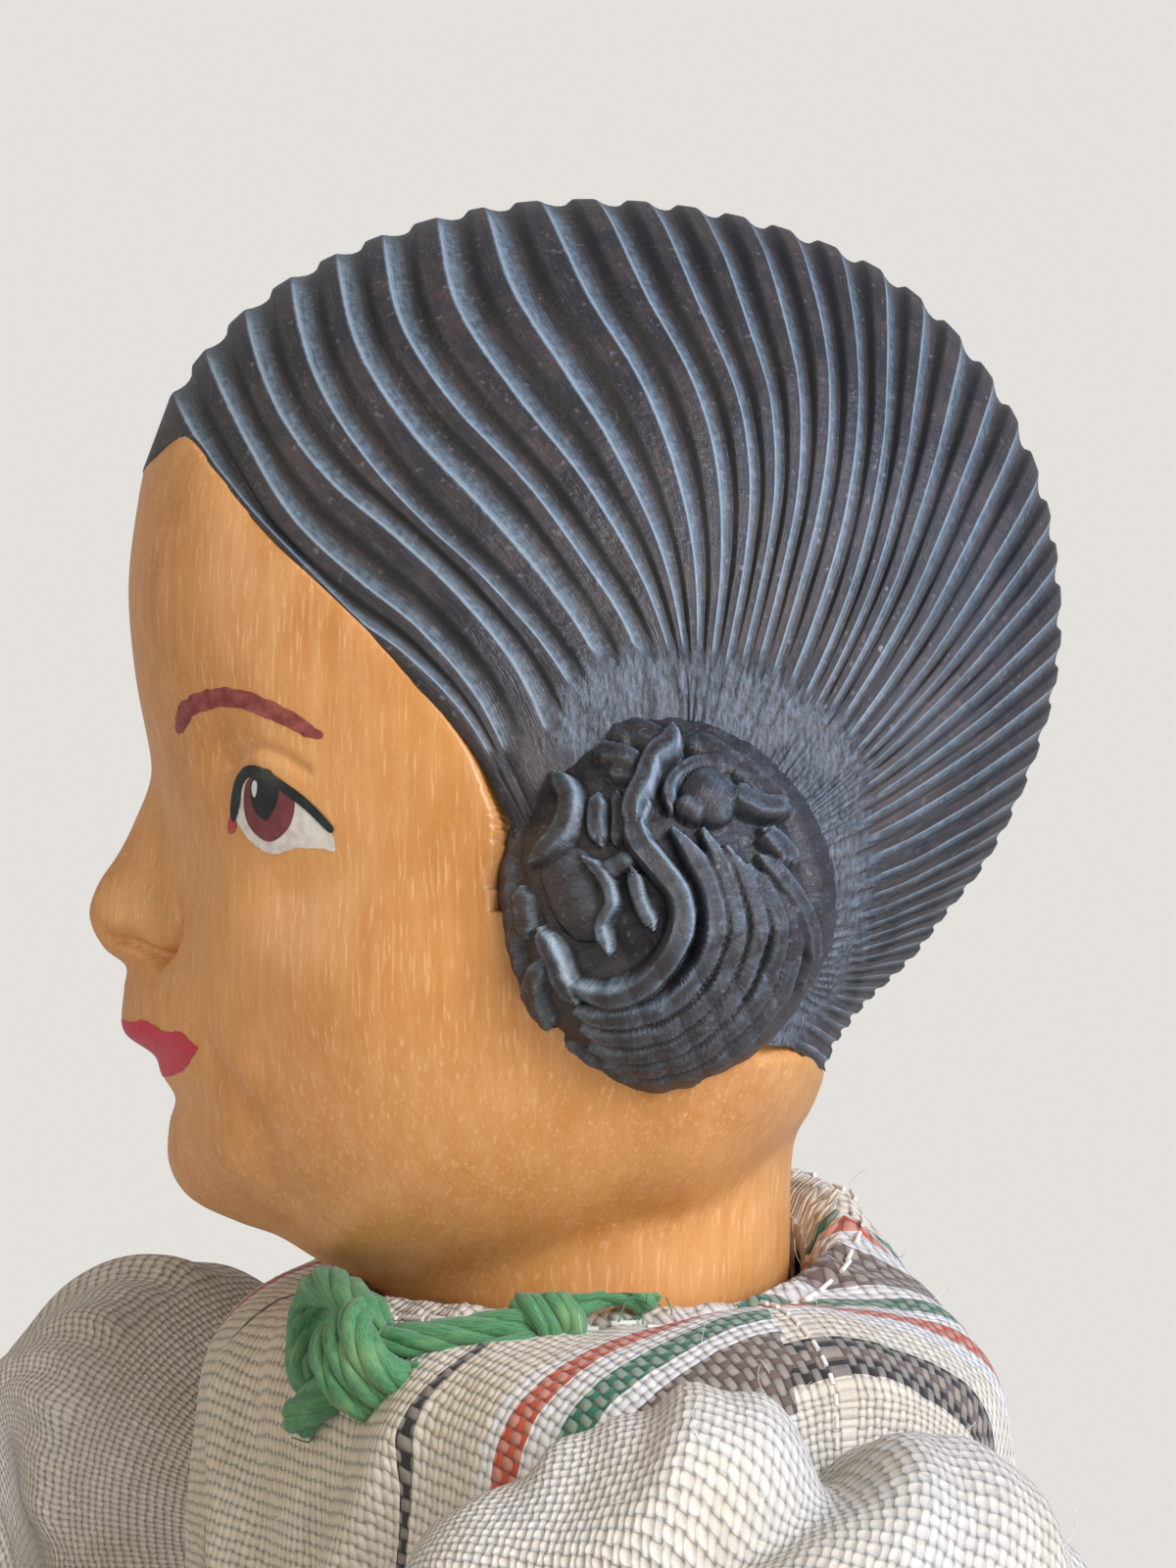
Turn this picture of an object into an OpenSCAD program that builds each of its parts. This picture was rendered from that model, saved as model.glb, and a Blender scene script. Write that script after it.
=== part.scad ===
// Jointed wooden doll with a carved and painted head, dressed in a gathered cotton blouse and drawers.
// The doll faces -Y with its left side towards +X. Each limb turns about X on a glued peg.

/* [Head] */
// Height of the head from crown to chin
head_size = 52; // [46:1:58]
// Width of the skull without the buns
head_w = 38; // [34:1:42]
// How far the head is turned to the doll's right at rest
head_turn = 30; // [0:5:60]
// Height of the centre of the hair buns above the neck's seat
bun_up = 20.6; // [19:0.2:22]
// Radius of the ball that each hair bun is carved as
bun_r = 8.4; // [7:0.2:9]
// How far a bun stands out past the skull
bun_rise = 4.9; // [3.5:0.1:6]
// Depth of the combed grooves in the hair
groove_d = 0.5; // [0.3:0.05:0.8]
// Number of combed grooves from the forehead to the nape
groove_count = 29; // [20:1:32]
// Radius of the neck
neck_r = 10.3; // [9:0.1:11]

/* [Trunk] */
// Height of the shoulder pegs above the hip pegs
trunk_len = 90; // [80:1:100]
// Height of the neck's seat above the shoulder pegs
neck_up = 15.8; // [14:0.2:18]
// Distance from the middle to the flat side where each arm turns
shoulder_x = 24; // [22:0.5:27]
// Radius of the trunk's round boss at each shoulder
boss_r = 7.5; // [6.5:0.1:8]
// Distance from the middle to the middle of each leg
hip_x = 11.5; // [11:0.1:13]

/* [Limbs] */
// Shoulder peg to elbow peg
upper_arm_len = 46; // [42:1:52]
// Elbow peg to wrist
forearm_len = 37; // [33:1:42]
// Wrist to fingertips
hand_len = 23; // [20:0.5:26]
// Radius of the arm where it is jointed
arm_r = 5.8; // [5.4:0.1:6.4]
// Hip peg to knee peg
thigh_len = 70; // [62:1:78]
// Knee peg to sole
shin_len = 78; // [70:1:86]
// Radius of the leg at the knee
knee_r = 7.2; // [6.6:0.1:7.8]
// Length of the shoe
shoe_len = 33; // [28:1:38]
// How far the upper arms are raised forward at rest
arm_lift = 40; // [0:5:60]
// How far the elbows are bent at rest
elbow_bend = 15; // [0:5:45]

/* [Joints] */
// Diameter of the neck dowel
dowel_d = 6; // [5:0.2:7]
// Diameter of the shoulder pegs
shoulder_peg_d = 4; // [3.4:0.2:4.6]
// Diameter of the hip and knee pegs
leg_peg_d = 3.2; // [2.6:0.2:3.8]
// Diameter of the elbow pegs
elbow_peg_d = 2.4; // [2:0.2:2.8]
// Diameter of the cross pin that keeps the neck dowel in
neck_pin_d = 2; // [1.6:0.1:2.4]
// Radial clearance of a peg in the bore that turns on it
turn_gap = 0.05; // [0.02:0.01:0.1]
// Gap between wooden faces that turn past each other
face_gap = 0.3; // [0.2:0.05:0.5]
// Thickness of an arm's tongue at the elbow
arm_tongue_t = 4; // [3.4:0.2:4.4]
// Thickness of a leg's tongue at the hip and knee
leg_tongue_t = 5; // [4.2:0.2:5.4]

/* [Clothes] */
// Thickness of the blouse's cloth with its fullness
cloth_t = 1.5; // [1.2:0.1:2]
// Gap between cloth and the wood under it
cloth_gap = 0.5; // [0.4:0.05:0.8]
// Length of the sleeves from the shoulder peg
sleeve_len = 36; // [32:1:38]
// Radius of the puffed sleeve
sleeve_r = 14.5; // [13:0.5:16]
// Radius of the sleeve where it is gathered above the elbow
cuff_r = 8.6; // [8:0.2:10]
// Height of the blouse's hem above the hip pegs
hem_up = 15.5; // [14.5:0.5:20]
// Radius of the drawers' legs
drawers_r = 13.2; // [12.4:0.2:14]
// Height of the drawers' hem above the knee pegs
drawers_hem_up = 10; // [9:0.5:16]
// Thickness of the green tie's cord
tie_d = 2.4; // [1.8:0.1:2.8]

/* [Hidden] */
$fn = 64;

wood_colour = "#c98f57";
bare_wood_colour = "#d9b283";
cloth_colour = "#d6cbb8";
tie_colour = "#4f8f55";
shoe_colour = "#2b2422";

over = 1; // overrun of every cut
soft_gap = 0.3; // gap between cloth that moves and its neighbours

// Levels above the sole
knee_z = shin_len;
hip_z = knee_z + thigh_len;
shoulder_z = hip_z + trunk_len;
seat_z = shoulder_z + neck_up;
bun_z = seat_z + bun_up;

// Smooth curve through a table of [place, value], flat beyond its ends
function span_of(t, x, i = 0) = i >= len(t) - 2 || x < t[i + 1][0] ? i : span_of(t, x, i + 1);
function slope_at(t, i) =
    let (a = max(0, i - 1), b = min(len(t) - 1, i + 1)) (t[b][1] - t[a][1]) / (t[b][0] - t[a][0]);
function curve_at(t, x) =
    let (i = span_of(t, x), w = t[i + 1][0] - t[i][0], u = max(0, min(1, (x - t[i][0]) / w)))
    t[i][1] * (1 + 2 * u) * (1 - u) * (1 - u) + slope_at(t, i) * w * u * (1 - u) * (1 - u)
    + t[i + 1][1] * u * u * (3 - 2 * u) - slope_at(t, i + 1) * w * u * u * (1 - u);
function ease(u) = let (v = max(0, min(1, u))) v * v * (3 - 2 * v);
function along(a, b, u) = a + (b - a) * u;

// Solid skinned over rings of equally many points, each running anticlockwise as seen from the last ring.
// A loop closes on itself like a tyre; otherwise each end is closed to the middle of its ring.
function middle_of(ring) = [for (k = [0:2]) [for (p = ring) p[k]] * [for (p = ring) 1] / len(ring)];
function skin_faces(rings, n, loop) = let (last = loop ? rings - 1 : rings - 2) concat(
    [for (i = [0:last], j = [0:n - 1], half = [0, 1])
        let (a = i * n, b = (i + 1) % rings * n, k = (j + 1) % n)
        half == 0 ? [a + j, b + k, a + k] : [a + j, b + j, b + k]],
    loop ? [] : [for (j = [0:n - 1]) [rings * n, j, (j + 1) % n]],
    loop ? [] : [for (j = [0:n - 1])
        [rings * n + 1, (rings - 1) * n + (j + 1) % n, (rings - 1) * n + j]]);
module skin(rings, loop = false) {
    points = [for (r = rings) each r];
    ends = loop ? [] : [middle_of(rings[0]), middle_of(rings[len(rings) - 1])];
    polyhedron(concat(points, ends), skin_faces(len(rings), len(rings[0]), loop));
}

// HEAD. Its surface is a distance from the middle between the two buns, for each direction: an angle in
// the side view, from straight forward over the crown to the nape, and a latitude out to the side.
skull_power = 2.3;
blend_power = 20;
bun_back_share = 0.072; // bun centre behind the turning axis, of the head's size
bun_y = bun_back_share * head_size;
bun_in = head_w / 2 + bun_rise - bun_r;
// Distance to the outline of the head at the middle, as shares of the head's size
outline_shares = [[-150, 0.217], [-139, 0.219], [-124, 0.25], [-110, 0.273], [-95, 0.313], [-80, 0.34],
    [-66, 0.402], [-55, 0.45], [-47, 0.479], [-41, 0.496], [-37, 0.519], [-32, 0.545], [-28, 0.546],
    [-24, 0.527], [-22, 0.513], [-19, 0.517], [-16.8, 0.518], [-13.5, 0.541], [-9, 0.533], [-6.8, 0.529],
    [-4.8, 0.548], [-1.5, 0.561], [1.5, 0.554], [5, 0.535], [8.5, 0.523], [13.5, 0.515], [17, 0.525],
    [24, 0.563], [31, 0.606], [37, 0.64], [43, 0.677], [50, 0.698], [57, 0.708], [66, 0.706], [76, 0.699],
    [88, 0.684], [100, 0.668], [110, 0.65], [118, 0.622], [126, 0.585], [134, 0.54], [142, 0.492],
    [150, 0.444], [158, 0.394], [166, 0.35], [174, 0.312], [182, 0.277], [192, 0.25], [202, 0.227],
    [210, 0.217]];
// The same beside the nose, lips and chin, where the cheeks are
cheek_shares = [[-47, 0.473], [-41, 0.481], [-35, 0.492], [-28, 0.498], [-20, 0.488], [-12, 0.481],
    [-4, 0.477], [4, 0.479], [12, 0.494], [18, 0.519], [24, 0.556], [31, 0.602]];
// How wide the nose, lips and chin reach to the side, as shares of the head's size
reach_shares = [[-47, 0.154], [-32, 0.125], [-24, 0.115], [-16, 0.125], [-10, 0.115], [-6, 0.081],
    [-2, 0.069], [5, 0.054], [12, 0.05], [18, 0.077], [24, 0.154], [31, 0.192]];

function turned(a) = a < -150 ? turned(a + 360) : a > 210 ? turned(a - 360) : a;
function direction(a, lat) = [sin(lat), -cos(lat) * cos(a), cos(lat) * sin(a)];
face_from = -47;
face_to = 31;
face_fade = 7; // degrees over which the cheeks run into the rest of the head
function outline_r(a, x) =
    let (mid = head_size * curve_at(outline_shares, a), reach = head_size * curve_at(reach_shares, a))
    let (face = ease((a - face_from) / face_fade) * ease((face_to - a) / face_fade))
    let (side = along(mid, head_size * curve_at(cheek_shares, a), face))
    side + (mid - side) * exp(-pow(x / reach, 2));
function skull_r(a, lat) =
    let (first = head_size * curve_at(outline_shares, a), p = outline_r(a, first * sin(lat)))
    pow(pow(abs(sin(lat)) * 2 / head_w, skull_power) + pow(cos(lat) / p, skull_power), -1 / skull_power);
function neck_reach(d) = d.z >= 0 ? 0 :
    let (c = bun_y, q = d.x * d.x + d.y * d.y, b = c * d.y)
    let (side = q == 0 ? head_size : (-b + sqrt(b * b - q * (c * c - neck_r * neck_r))) / q)
    pow(pow(side, -blend_power) + pow(-bun_up / d.z, -blend_power), -1 / blend_power);
function bun_reach(lat) = let (d = bun_r * bun_r - pow(bun_in * cos(lat), 2))
    d < 0 ? 0 : bun_in * abs(sin(lat)) + sqrt(d);

// Hair: each groove leaves the parting at one angle and bends back on its way to the bun
groove_first = 51.3;
groove_last = 214.5;
groove_pitch = (groove_last - groove_first) / (groove_count - 1);
groove_half_share = 0.2; // half of a groove's width, of the pitch
bend_most = 18;
function bend_of(a) = bend_most * ease((a - 53) / 15) * (1 - ease((a - 112) / 40))
    - 8 * (1 - ease((a - 47) / 10));
function bent(a, lat) = a < groove_first - groove_pitch ? a
    : a + bend_of(a) * ease((abs(lat) - 2) / 66);
collar_r_share = 0.24; // where the grooves stop short of the bun, of the head's size
function groove_mask(a, lat, r) =
    let (stop = head_size * collar_r_share * (1 - 0.27 * ease((a - 135) / 30)))
    ease((abs(lat) - 1) / 3) * ease((r * cos(lat) - stop) / (head_size * 0.04));
// Bun: one coil wound out from its middle
coil_pitch = bun_r / 3;
coil_h = bun_r * 0.055;
function coil_relief(a, lat, r) =
    let (out = r * cos(lat)) coil_h * cos(360 * out / coil_pitch - a) * ease(out / coil_pitch);

// Columns of the head's mesh, each [angle, groove depth factor]
hair_columns = [for (k = [0:groove_count - 1], s = [-1, 0, 1])
    [groove_first + groove_pitch * (k + s * groove_half_share), s == 0 ? 1 : 0]];
face_columns = [for (a = [-137, -127, -117, -106, -95, -85, -75, -66, -58, -51, -46]) [a, 0]];
feature_columns = [for (a = [-42:2.75:20]) [a, 0]];
brow_columns = [for (a = [24.5, 29.5, 35, 40.5, 45.5]) [a, 0]];
head_columns = concat(face_columns, feature_columns, brow_columns, hair_columns);
bun_lats = [for (s = [12, 24, 36, 48, 62, 78]) atan2(bun_in + bun_r * cos(s), bun_r * sin(s))];
head_lats = concat(bun_lats, [61, 55, 48, 41, 34, 27.5, 21.5, 16, 11.5, 7.5, 4.5, 2]);
all_lats = concat(head_lats, [0], [for (i = [len(head_lats) - 1:-1:0]) -head_lats[i]]);

function head_point(column, lat) =
    let (a = turned(bent(column[0], lat)), d = direction(a, lat))
    let (skull = skull_r(a, lat), bun = bun_reach(lat))
    let (base = pow(pow(skull, blend_power) + pow(neck_reach(d), blend_power), 1 / blend_power))
    let (r = bun > base ? bun + coil_relief(a, lat, bun)
        : base - groove_d * column[1] * groove_mask(a, lat, base))
    [0, bun_y, bun_z] + r * d;
head_rings = [for (lat = all_lats) [for (c = head_columns) head_point(c, lat)]];
function about_z(p, a) = [p.x * cos(a) - p.y * sin(a), p.x * sin(a) + p.y * cos(a), p.z];
head_low = min([for (r = head_rings, p = r) p.z]);
head_back = max([for (r = head_rings, p = r) about_z(p, -head_turn).y]);

// Middle of the whole doll, front to back, from the fingertips to the back of the head
tip_r = arm_r * 0.62;
tip_reach = forearm_len + hand_len - tip_r;
front_y = -upper_arm_len * sin(arm_lift) - tip_reach * sin(arm_lift + elbow_bend) - tip_r;
centre_y = (front_y + head_back) / 2;

// NECK
dowel_r = dowel_d / 2;
dowel_in_head = neck_r * 0.9;
dowel_low = shoulder_z - neck_up * 0.35;
neck_pin_z = shoulder_z + neck_up * 0.5;
pin_bite = neck_pin_d * 0.5; // how far the pin reaches into the dowel's groove
neck_groove_w = neck_pin_d + 2 * face_gap;

module head() {
    color(wood_colour) rotate([0, 0, -head_turn]) difference() {
        skin(head_rings);
        translate([0, 0, head_low - over]) cylinder(h = over + dowel_in_head, r = dowel_r);
    }
}
module neck_dowel() {
    color(bare_wood_colour) translate([0, 0, dowel_low]) rotate_extrude() polygon([
        [0, 0], [dowel_r - pin_bite, 0], [dowel_r, pin_bite],
        [dowel_r, neck_pin_z - neck_groove_w / 2 - dowel_low],
        [dowel_r - pin_bite - face_gap, neck_pin_z - neck_groove_w / 2 - dowel_low],
        [dowel_r - pin_bite - face_gap, neck_pin_z + neck_groove_w / 2 - dowel_low],
        [dowel_r, neck_pin_z + neck_groove_w / 2 - dowel_low],
        [dowel_r, head_low + dowel_in_head - dowel_low], [0, head_low + dowel_in_head - dowel_low]]);
}
module neck_pin() {
    color(bare_wood_colour) translate([pin_x, pin_half, neck_pin_z]) rotate([90, 0, 0])
        cylinder(h = 2 * pin_half, d = neck_pin_d, $fn = 32);
}

// TRUNK. Half-widths and half-depths, as shares of the shoulders' half-width, against height from the
// hip pegs as a share of the trunk's length.
trunk_wide_shares = [[-0.1, 0.86], [0, 0.875], [0.12, 0.875], [0.22, 0.84], [0.34, 0.77], [0.47, 0.71],
    [0.63, 0.77], [0.8, 0.88], [0.93, 0.93], [1.04, 0.93], [1.1, 0.86], [1.14, 0.66], [1.17, 0.44]];
trunk_deep_shares = [[0.1, 0.38], [0.22, 0.45], [0.34, 0.48], [0.47, 0.46],
    [0.63, 0.5], [0.8, 0.56], [0.93, 0.56], [1.04, 0.52], [1.1, 0.47], [1.14, 0.42], [1.17, 0.385]];
trunk_top = head_low - face_gap;
hip_r = knee_r * 1.25; // radius of the rounded trunk about the hip pegs
trunk_bottom = hip_z - hip_r * 0.97;
trunk_power = 2.4;
function trunk_wide_at(z) = shoulder_x * curve_at(trunk_wide_shares, (z - hip_z) / trunk_len);
function trunk_deep_at(z) = z < hip_z ? sqrt(max(0, hip_r * hip_r - pow(hip_z - z, 2)))
    : along(hip_r, shoulder_x * curve_at(trunk_deep_shares, (z - hip_z) / trunk_len),
        ease((z - hip_z) / hip_r - 1));
function oval(wide, deep, z, n, power = trunk_power, y = 0) = [for (j = [0:n - 1])
    let (a = 360 * j / n, c = cos(a), s = sin(a))
    let (r = pow(pow(abs(c) / wide, power) + pow(abs(s) / deep, power), -1 / power))
    [r * c, y + r * s, z]];
trunk_n = 36;
trunk_levels = 13;
trunk_zs = concat([for (u = [0.97, 0.85, 0.6, 0.3]) hip_z - hip_r * u],
    [for (i = [0:trunk_levels - 1]) let (u = i / (trunk_levels - 1))
        along(hip_z, trunk_top, 1 - pow(1 - u, 1.25))]);
pin_x = dowel_r - pin_bite + neck_pin_d / 2;
pin_half = trunk_deep_at(neck_pin_z) * 0.8;
leg_slot_t = leg_tongue_t + 2 * face_gap;
hip_slot_r = hip_r + face_gap;
leg_peg_r = leg_peg_d / 2;
peg_r = shoulder_peg_d / 2;
peg_in_trunk = shoulder_x * 0.5; // how far a shoulder peg is glued into the trunk

module across(x0, x1, r, y = 0, z = 0) {
    translate([x0, y, z]) rotate([0, 90, 0]) cylinder(h = x1 - x0, r = r);
}
module torso() {
    color(wood_colour) difference() {
        union() {
            skin([for (z = trunk_zs) oval(trunk_wide_at(z), trunk_deep_at(z), z, trunk_n)]);
            across(-shoulder_x, shoulder_x, boss_r, 0, shoulder_z);
        }
        translate([0, 0, dowel_low - face_gap])
            cylinder(h = seat_z - dowel_low + over, r = dowel_r + turn_gap);
        translate([pin_x, pin_half, neck_pin_z]) rotate([90, 0, 0])
            cylinder(h = 2 * pin_half, d = neck_pin_d, $fn = 32);
        for (side = [-1, 1]) {
            translate([side * hip_x - leg_slot_t / 2, -shoulder_x, hip_z - hip_r - over])
                cube([leg_slot_t, 2 * shoulder_x, over + hip_r + hip_slot_r]);
            across(side > 0 ? shoulder_x - peg_in_trunk : -shoulder_x - over,
                side > 0 ? shoulder_x + over : peg_in_trunk - shoulder_x, peg_r, 0, shoulder_z);
            across(side > 0 ? hip_peg_in : -hip_peg_out - over, side > 0 ? hip_peg_out + over : -hip_peg_in,
                leg_peg_r, 0, hip_z);
        }
    }
}

// PEGS. Left-hand ones are drawn at +X; the right-hand ones are their mirror images.
hip_peg_in = hip_x - leg_slot_t;
hip_peg_out = trunk_wide_at(hip_z);
arm_x = shoulder_x + face_gap + arm_r;
arm_out = arm_x + arm_r;
peg_head_r = peg_r * 1.7;
peg_head_t = peg_r * 0.6;
module shoulder_peg() {
    color(bare_wood_colour) {
        across(shoulder_x - peg_in_trunk, arm_out + face_gap, peg_r, 0, shoulder_z);
        translate([arm_out + face_gap, 0, shoulder_z]) rotate([0, 90, 0])
            cylinder(h = peg_head_t, r1 = peg_head_r, r2 = peg_head_r * 0.8);
    }
}
module hip_peg() {
    color(bare_wood_colour) across(hip_peg_in, hip_peg_out, leg_peg_r, 0, hip_z);
}

// ARMS. Drawn hanging straight down from the shoulder peg, then turned to rest.
arm_slot_t = arm_tongue_t + 2 * face_gap;
elbow_r = elbow_peg_d / 2;
elbow_w = arm_r * 0.9; // half-width of the fork at the elbow
shoulder_r = arm_r * 1.15; // radius of the arm's top about the shoulder peg
arm_step = arm_r + 2 * face_gap; // from a peg to the shoulder of the piece below it
module at_shoulder() {
    translate([arm_x, 0, shoulder_z]) rotate([-arm_lift, 0, 0]) children();
}
module at_elbow() {
    at_shoulder() translate([0, 0, -upper_arm_len]) rotate([-elbow_bend, 0, 0]) children();
}
module turned_shaft(table) {
    rotate_extrude() polygon(concat([[0, table[0][1]]], table, [[0, table[len(table) - 1][1]]]));
}
module upper_arm() {
    slim = arm_r * 0.88;
    color(wood_colour) at_shoulder() difference() {
        union() {
            across(-arm_r, arm_r, shoulder_r);
            turned_shaft([[arm_r * 0.96, 0], [arm_r * 0.96, -upper_arm_len * 0.2],
                [slim, -upper_arm_len * 0.5],
                [slim, -upper_arm_len * 0.72], [arm_r * 0.96, -upper_arm_len + arm_r],
                [arm_r * 0.96, -upper_arm_len]]);
            across(-elbow_w, elbow_w, arm_r, 0, -upper_arm_len);
        }
        translate([-arm_slot_t / 2, -2 * arm_r, -upper_arm_len - 2 * arm_r])
            cube([arm_slot_t, 4 * arm_r, 2 * arm_r + arm_step]);
        across(-arm_r - over, arm_r + over, peg_r + turn_gap);
        across(-arm_r - over, arm_r + over, elbow_r, 0, -upper_arm_len);
    }
}
module elbow_peg() {
    color(bare_wood_colour) at_shoulder() across(-elbow_w, elbow_w, elbow_r, 0, -upper_arm_len);
}
wrist_r = arm_r * 0.66;
palm_r = arm_r * 0.82;
thumb_r = arm_r * 0.27;
module hand_outline() {
    // Seen from the side, with the thumb to the front
    palm_up = palm_r * 0.9;
    knuckle = hand_len - tip_r;
    circle(r = wrist_r);
    translate([0, -palm_up - wrist_r * 0.6]) circle(r = palm_r);
    translate([0, -knuckle]) circle(r = tip_r);
    polygon([[-wrist_r, 0], [wrist_r, 0], [palm_r, -palm_up - wrist_r * 0.6], [tip_r, -knuckle],
        [-tip_r, -knuckle], [-palm_r, -palm_up - wrist_r * 0.6]]);
    thumb_base = [-palm_r * 0.7, -palm_up];
    thumb_end = [-palm_r * 1.42, -palm_up - palm_r * 1.75];
    translate(thumb_end) circle(r = thumb_r);
    polygon([thumb_base + [-thumb_r, 0], thumb_end + [-thumb_r, 0], thumb_end + [thumb_r, -thumb_r * 0.3],
        thumb_base + [thumb_r, -palm_r * 0.7]]);
}
module hand() {
    thick = arm_r * 0.42;
    intersection() {
        translate([-arm_r, 0, 0]) rotate([90, 0, 90]) linear_extrude(height = 2 * arm_r) hand_outline();
        rotate([90, 0, 0]) translate([0, 0, -2 * arm_r]) linear_extrude(height = 4 * arm_r) polygon([
            [-wrist_r, wrist_r], [wrist_r, wrist_r], [wrist_r * 0.9, -palm_r * 0.5], [thick, -palm_r * 1.2],
            [thick * 0.7, -hand_len - over], [-thick * 0.7, -hand_len - over],
            [-thick, -palm_r * 1.2], [-wrist_r * 0.9, -palm_r * 0.5]]);
    }
}
module forearm() {
    color(wood_colour) at_elbow() difference() {
        union() {
            across(-arm_tongue_t / 2, arm_tongue_t / 2, arm_r);
            translate([-arm_tongue_t / 2, -arm_r * 0.9, -arm_step - face_gap])
                cube([arm_tongue_t, arm_r * 1.8, arm_step + face_gap]);
            turned_shaft([[arm_r * 0.9, -arm_step], [arm_r * 0.97, -forearm_len * 0.32],
                [arm_r * 0.9, -forearm_len * 0.6], [wrist_r, -forearm_len * 0.93], [wrist_r, -forearm_len]]);
            translate([0, 0, -forearm_len]) hand();
        }
        across(-arm_r, arm_r, elbow_r + turn_gap);
    }
}

// LEGS
thigh_r = hip_x * 0.82;
leg_step = hip_r + 2 * face_gap;
knee_step = knee_r + 2 * face_gap;
knee_w = knee_r * 0.96;
module leg_tongue(r, step) {
    across(-leg_tongue_t / 2, leg_tongue_t / 2, r);
    translate([-leg_tongue_t / 2, -r * 0.92, -step - face_gap])
        cube([leg_tongue_t, r * 1.84, step + face_gap]);
}
// Radius of the thigh against height from the hip peg
thigh_table = [[thigh_r * 0.94, -leg_step], [thigh_r, -thigh_len * 0.25], [thigh_r * 0.93, -thigh_len * 0.5],
    [knee_w, -thigh_len * 0.86], [knee_w, -thigh_len]];
module thigh() {
    color(wood_colour) translate([hip_x, 0, hip_z]) difference() {
        union() {
            leg_tongue(hip_r * 0.97, leg_step);
            turned_shaft(thigh_table);
            across(-knee_w, knee_w, knee_r, 0, -thigh_len);
        }
        across(-hip_r, hip_r, leg_peg_r + turn_gap);
        translate([-leg_slot_t / 2, -2 * knee_r, -thigh_len - 2 * knee_r])
            cube([leg_slot_t, 4 * knee_r, 2 * knee_r + knee_step]);
        across(-knee_w - over, knee_w + over, leg_peg_r, 0, -thigh_len);
    }
}
module knee_peg() {
    color(bare_wood_colour) across(hip_x - knee_w, hip_x + knee_w, leg_peg_r, 0, knee_z);
}
shoe_h = shin_len * 0.16;
shoe_w = hip_x * 0.54; // half-width across the ball of the foot
heel_back = shoe_len * 0.27;
toe_y = heel_back - shoe_len;
ankle_r = shoe_w * 0.72;
module shoe() {
    toe_r = shoe_w * 0.86;
    heel_r = shoe_w * 0.8;
    heel_h = shoe_h * 0.2;
    intersection() {
        linear_extrude(height = shoe_h) {
            translate([0, toe_y + toe_r]) circle(r = toe_r);
            translate([0, toe_y * 0.42]) circle(r = shoe_w);
            translate([0, heel_back - heel_r]) circle(r = heel_r);
            polygon([[-toe_r, toe_y + toe_r], [-shoe_w, toe_y * 0.42], [-heel_r, heel_back - heel_r],
                [heel_r, heel_back - heel_r], [shoe_w, toe_y * 0.42], [toe_r, toe_y + toe_r]]);
        }
        translate([-shoe_w - over, 0, 0]) rotate([90, 0, 90]) linear_extrude(height = 2 * (shoe_w + over))
            polygon([[toe_y - over, 0], [toe_y * 0.3, 0], [toe_y * 0.24, heel_h * 0.6],
                [heel_back * 0.1, heel_h * 0.6], [heel_back * 0.1, 0], [heel_back + over, 0],
                [heel_back + over, shoe_h], [-ankle_r, shoe_h], [-ankle_r * 1.5, shoe_h * 0.82],
                [toe_y * 0.5, shoe_h * 0.62], [toe_y * 0.82, shoe_h * 0.5], [toe_y, shoe_h * 0.3],
                [toe_y - over, shoe_h * 0.3]]);
    }
}
module shin() {
    translate([hip_x, 0, 0]) difference() {
        union() {
            color(wood_colour) translate([0, 0, knee_z]) leg_tongue(knee_r * 0.95, knee_step);
            color(wood_colour) turned_shaft([[knee_r * 0.94, knee_z - knee_step],
                [knee_r * 1.02, knee_z * 0.68], [knee_r * 0.92, knee_z * 0.5], [ankle_r, knee_z * 0.24],
                [ankle_r, shoe_h * 0.5]]);
            color(shoe_colour) shoe();
        }
        across(-knee_r, knee_r, leg_peg_r + turn_gap, 0, knee_z);
    }
}

// CLOTHES. Each piece of cloth is a shell of rings round what it covers.
side_x = shoulder_x; // the cloth of the trunk stays inside the plane that the arms turn past
function clip_x(ring, most) = [for (p = ring) [max(-most, min(most, p.x)), p.y, p.z]];
function folded(ring, count, depth, phase = 0) = [for (j = [0:len(ring) - 1])
    let (p = ring[j], m = middle_of(ring), d = [p.x - m.x, p.y - m.y, 0])
    p + depth * cos(360 * count * j / len(ring) + phase) * d / norm(d)];

blouse_n = 40;
collar_r = neck_r + cloth_t;
collar_z = seat_z + face_gap;
collar_back_rise = neck_up * 0.32;
hem_z = hip_z + hem_up;
// Rings of the blouse from hem to collar: height as a share from hem to collar, then half-width and
// half-depth as shares of the shoulders' half-width, fold depth as a share, rise at the back
blouse_shares = [[0, 0.985, 0.83, 0.045, 0], [0.1, 0.98, 0.8, 0.04, 0], [0.24, 0.96, 0.72, 0.03, 0],
    [0.4, 0.97, 0.69, 0.02, 0], [0.58, 1, 0.72, 0.018, 0], [0.74, 1.01, 0.75, 0.012, 0],
    [0.86, 1.02, 0.73, 0, 0.05], [0.92, 1.02, 0.7, 0, 0.12], [0.96, 0.96, 0.67, 0, 0.3],
    [0.985, 0.8, 0.62, 0, 0.6], [1.0, 0.63, 0.56, 0, 0.85]];
function raised(ring, rise) = [for (p = ring)
    [p.x, p.y, p.z + rise * ease(atan2(abs(p.x), -p.y) / 90 - 1)]];
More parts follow.
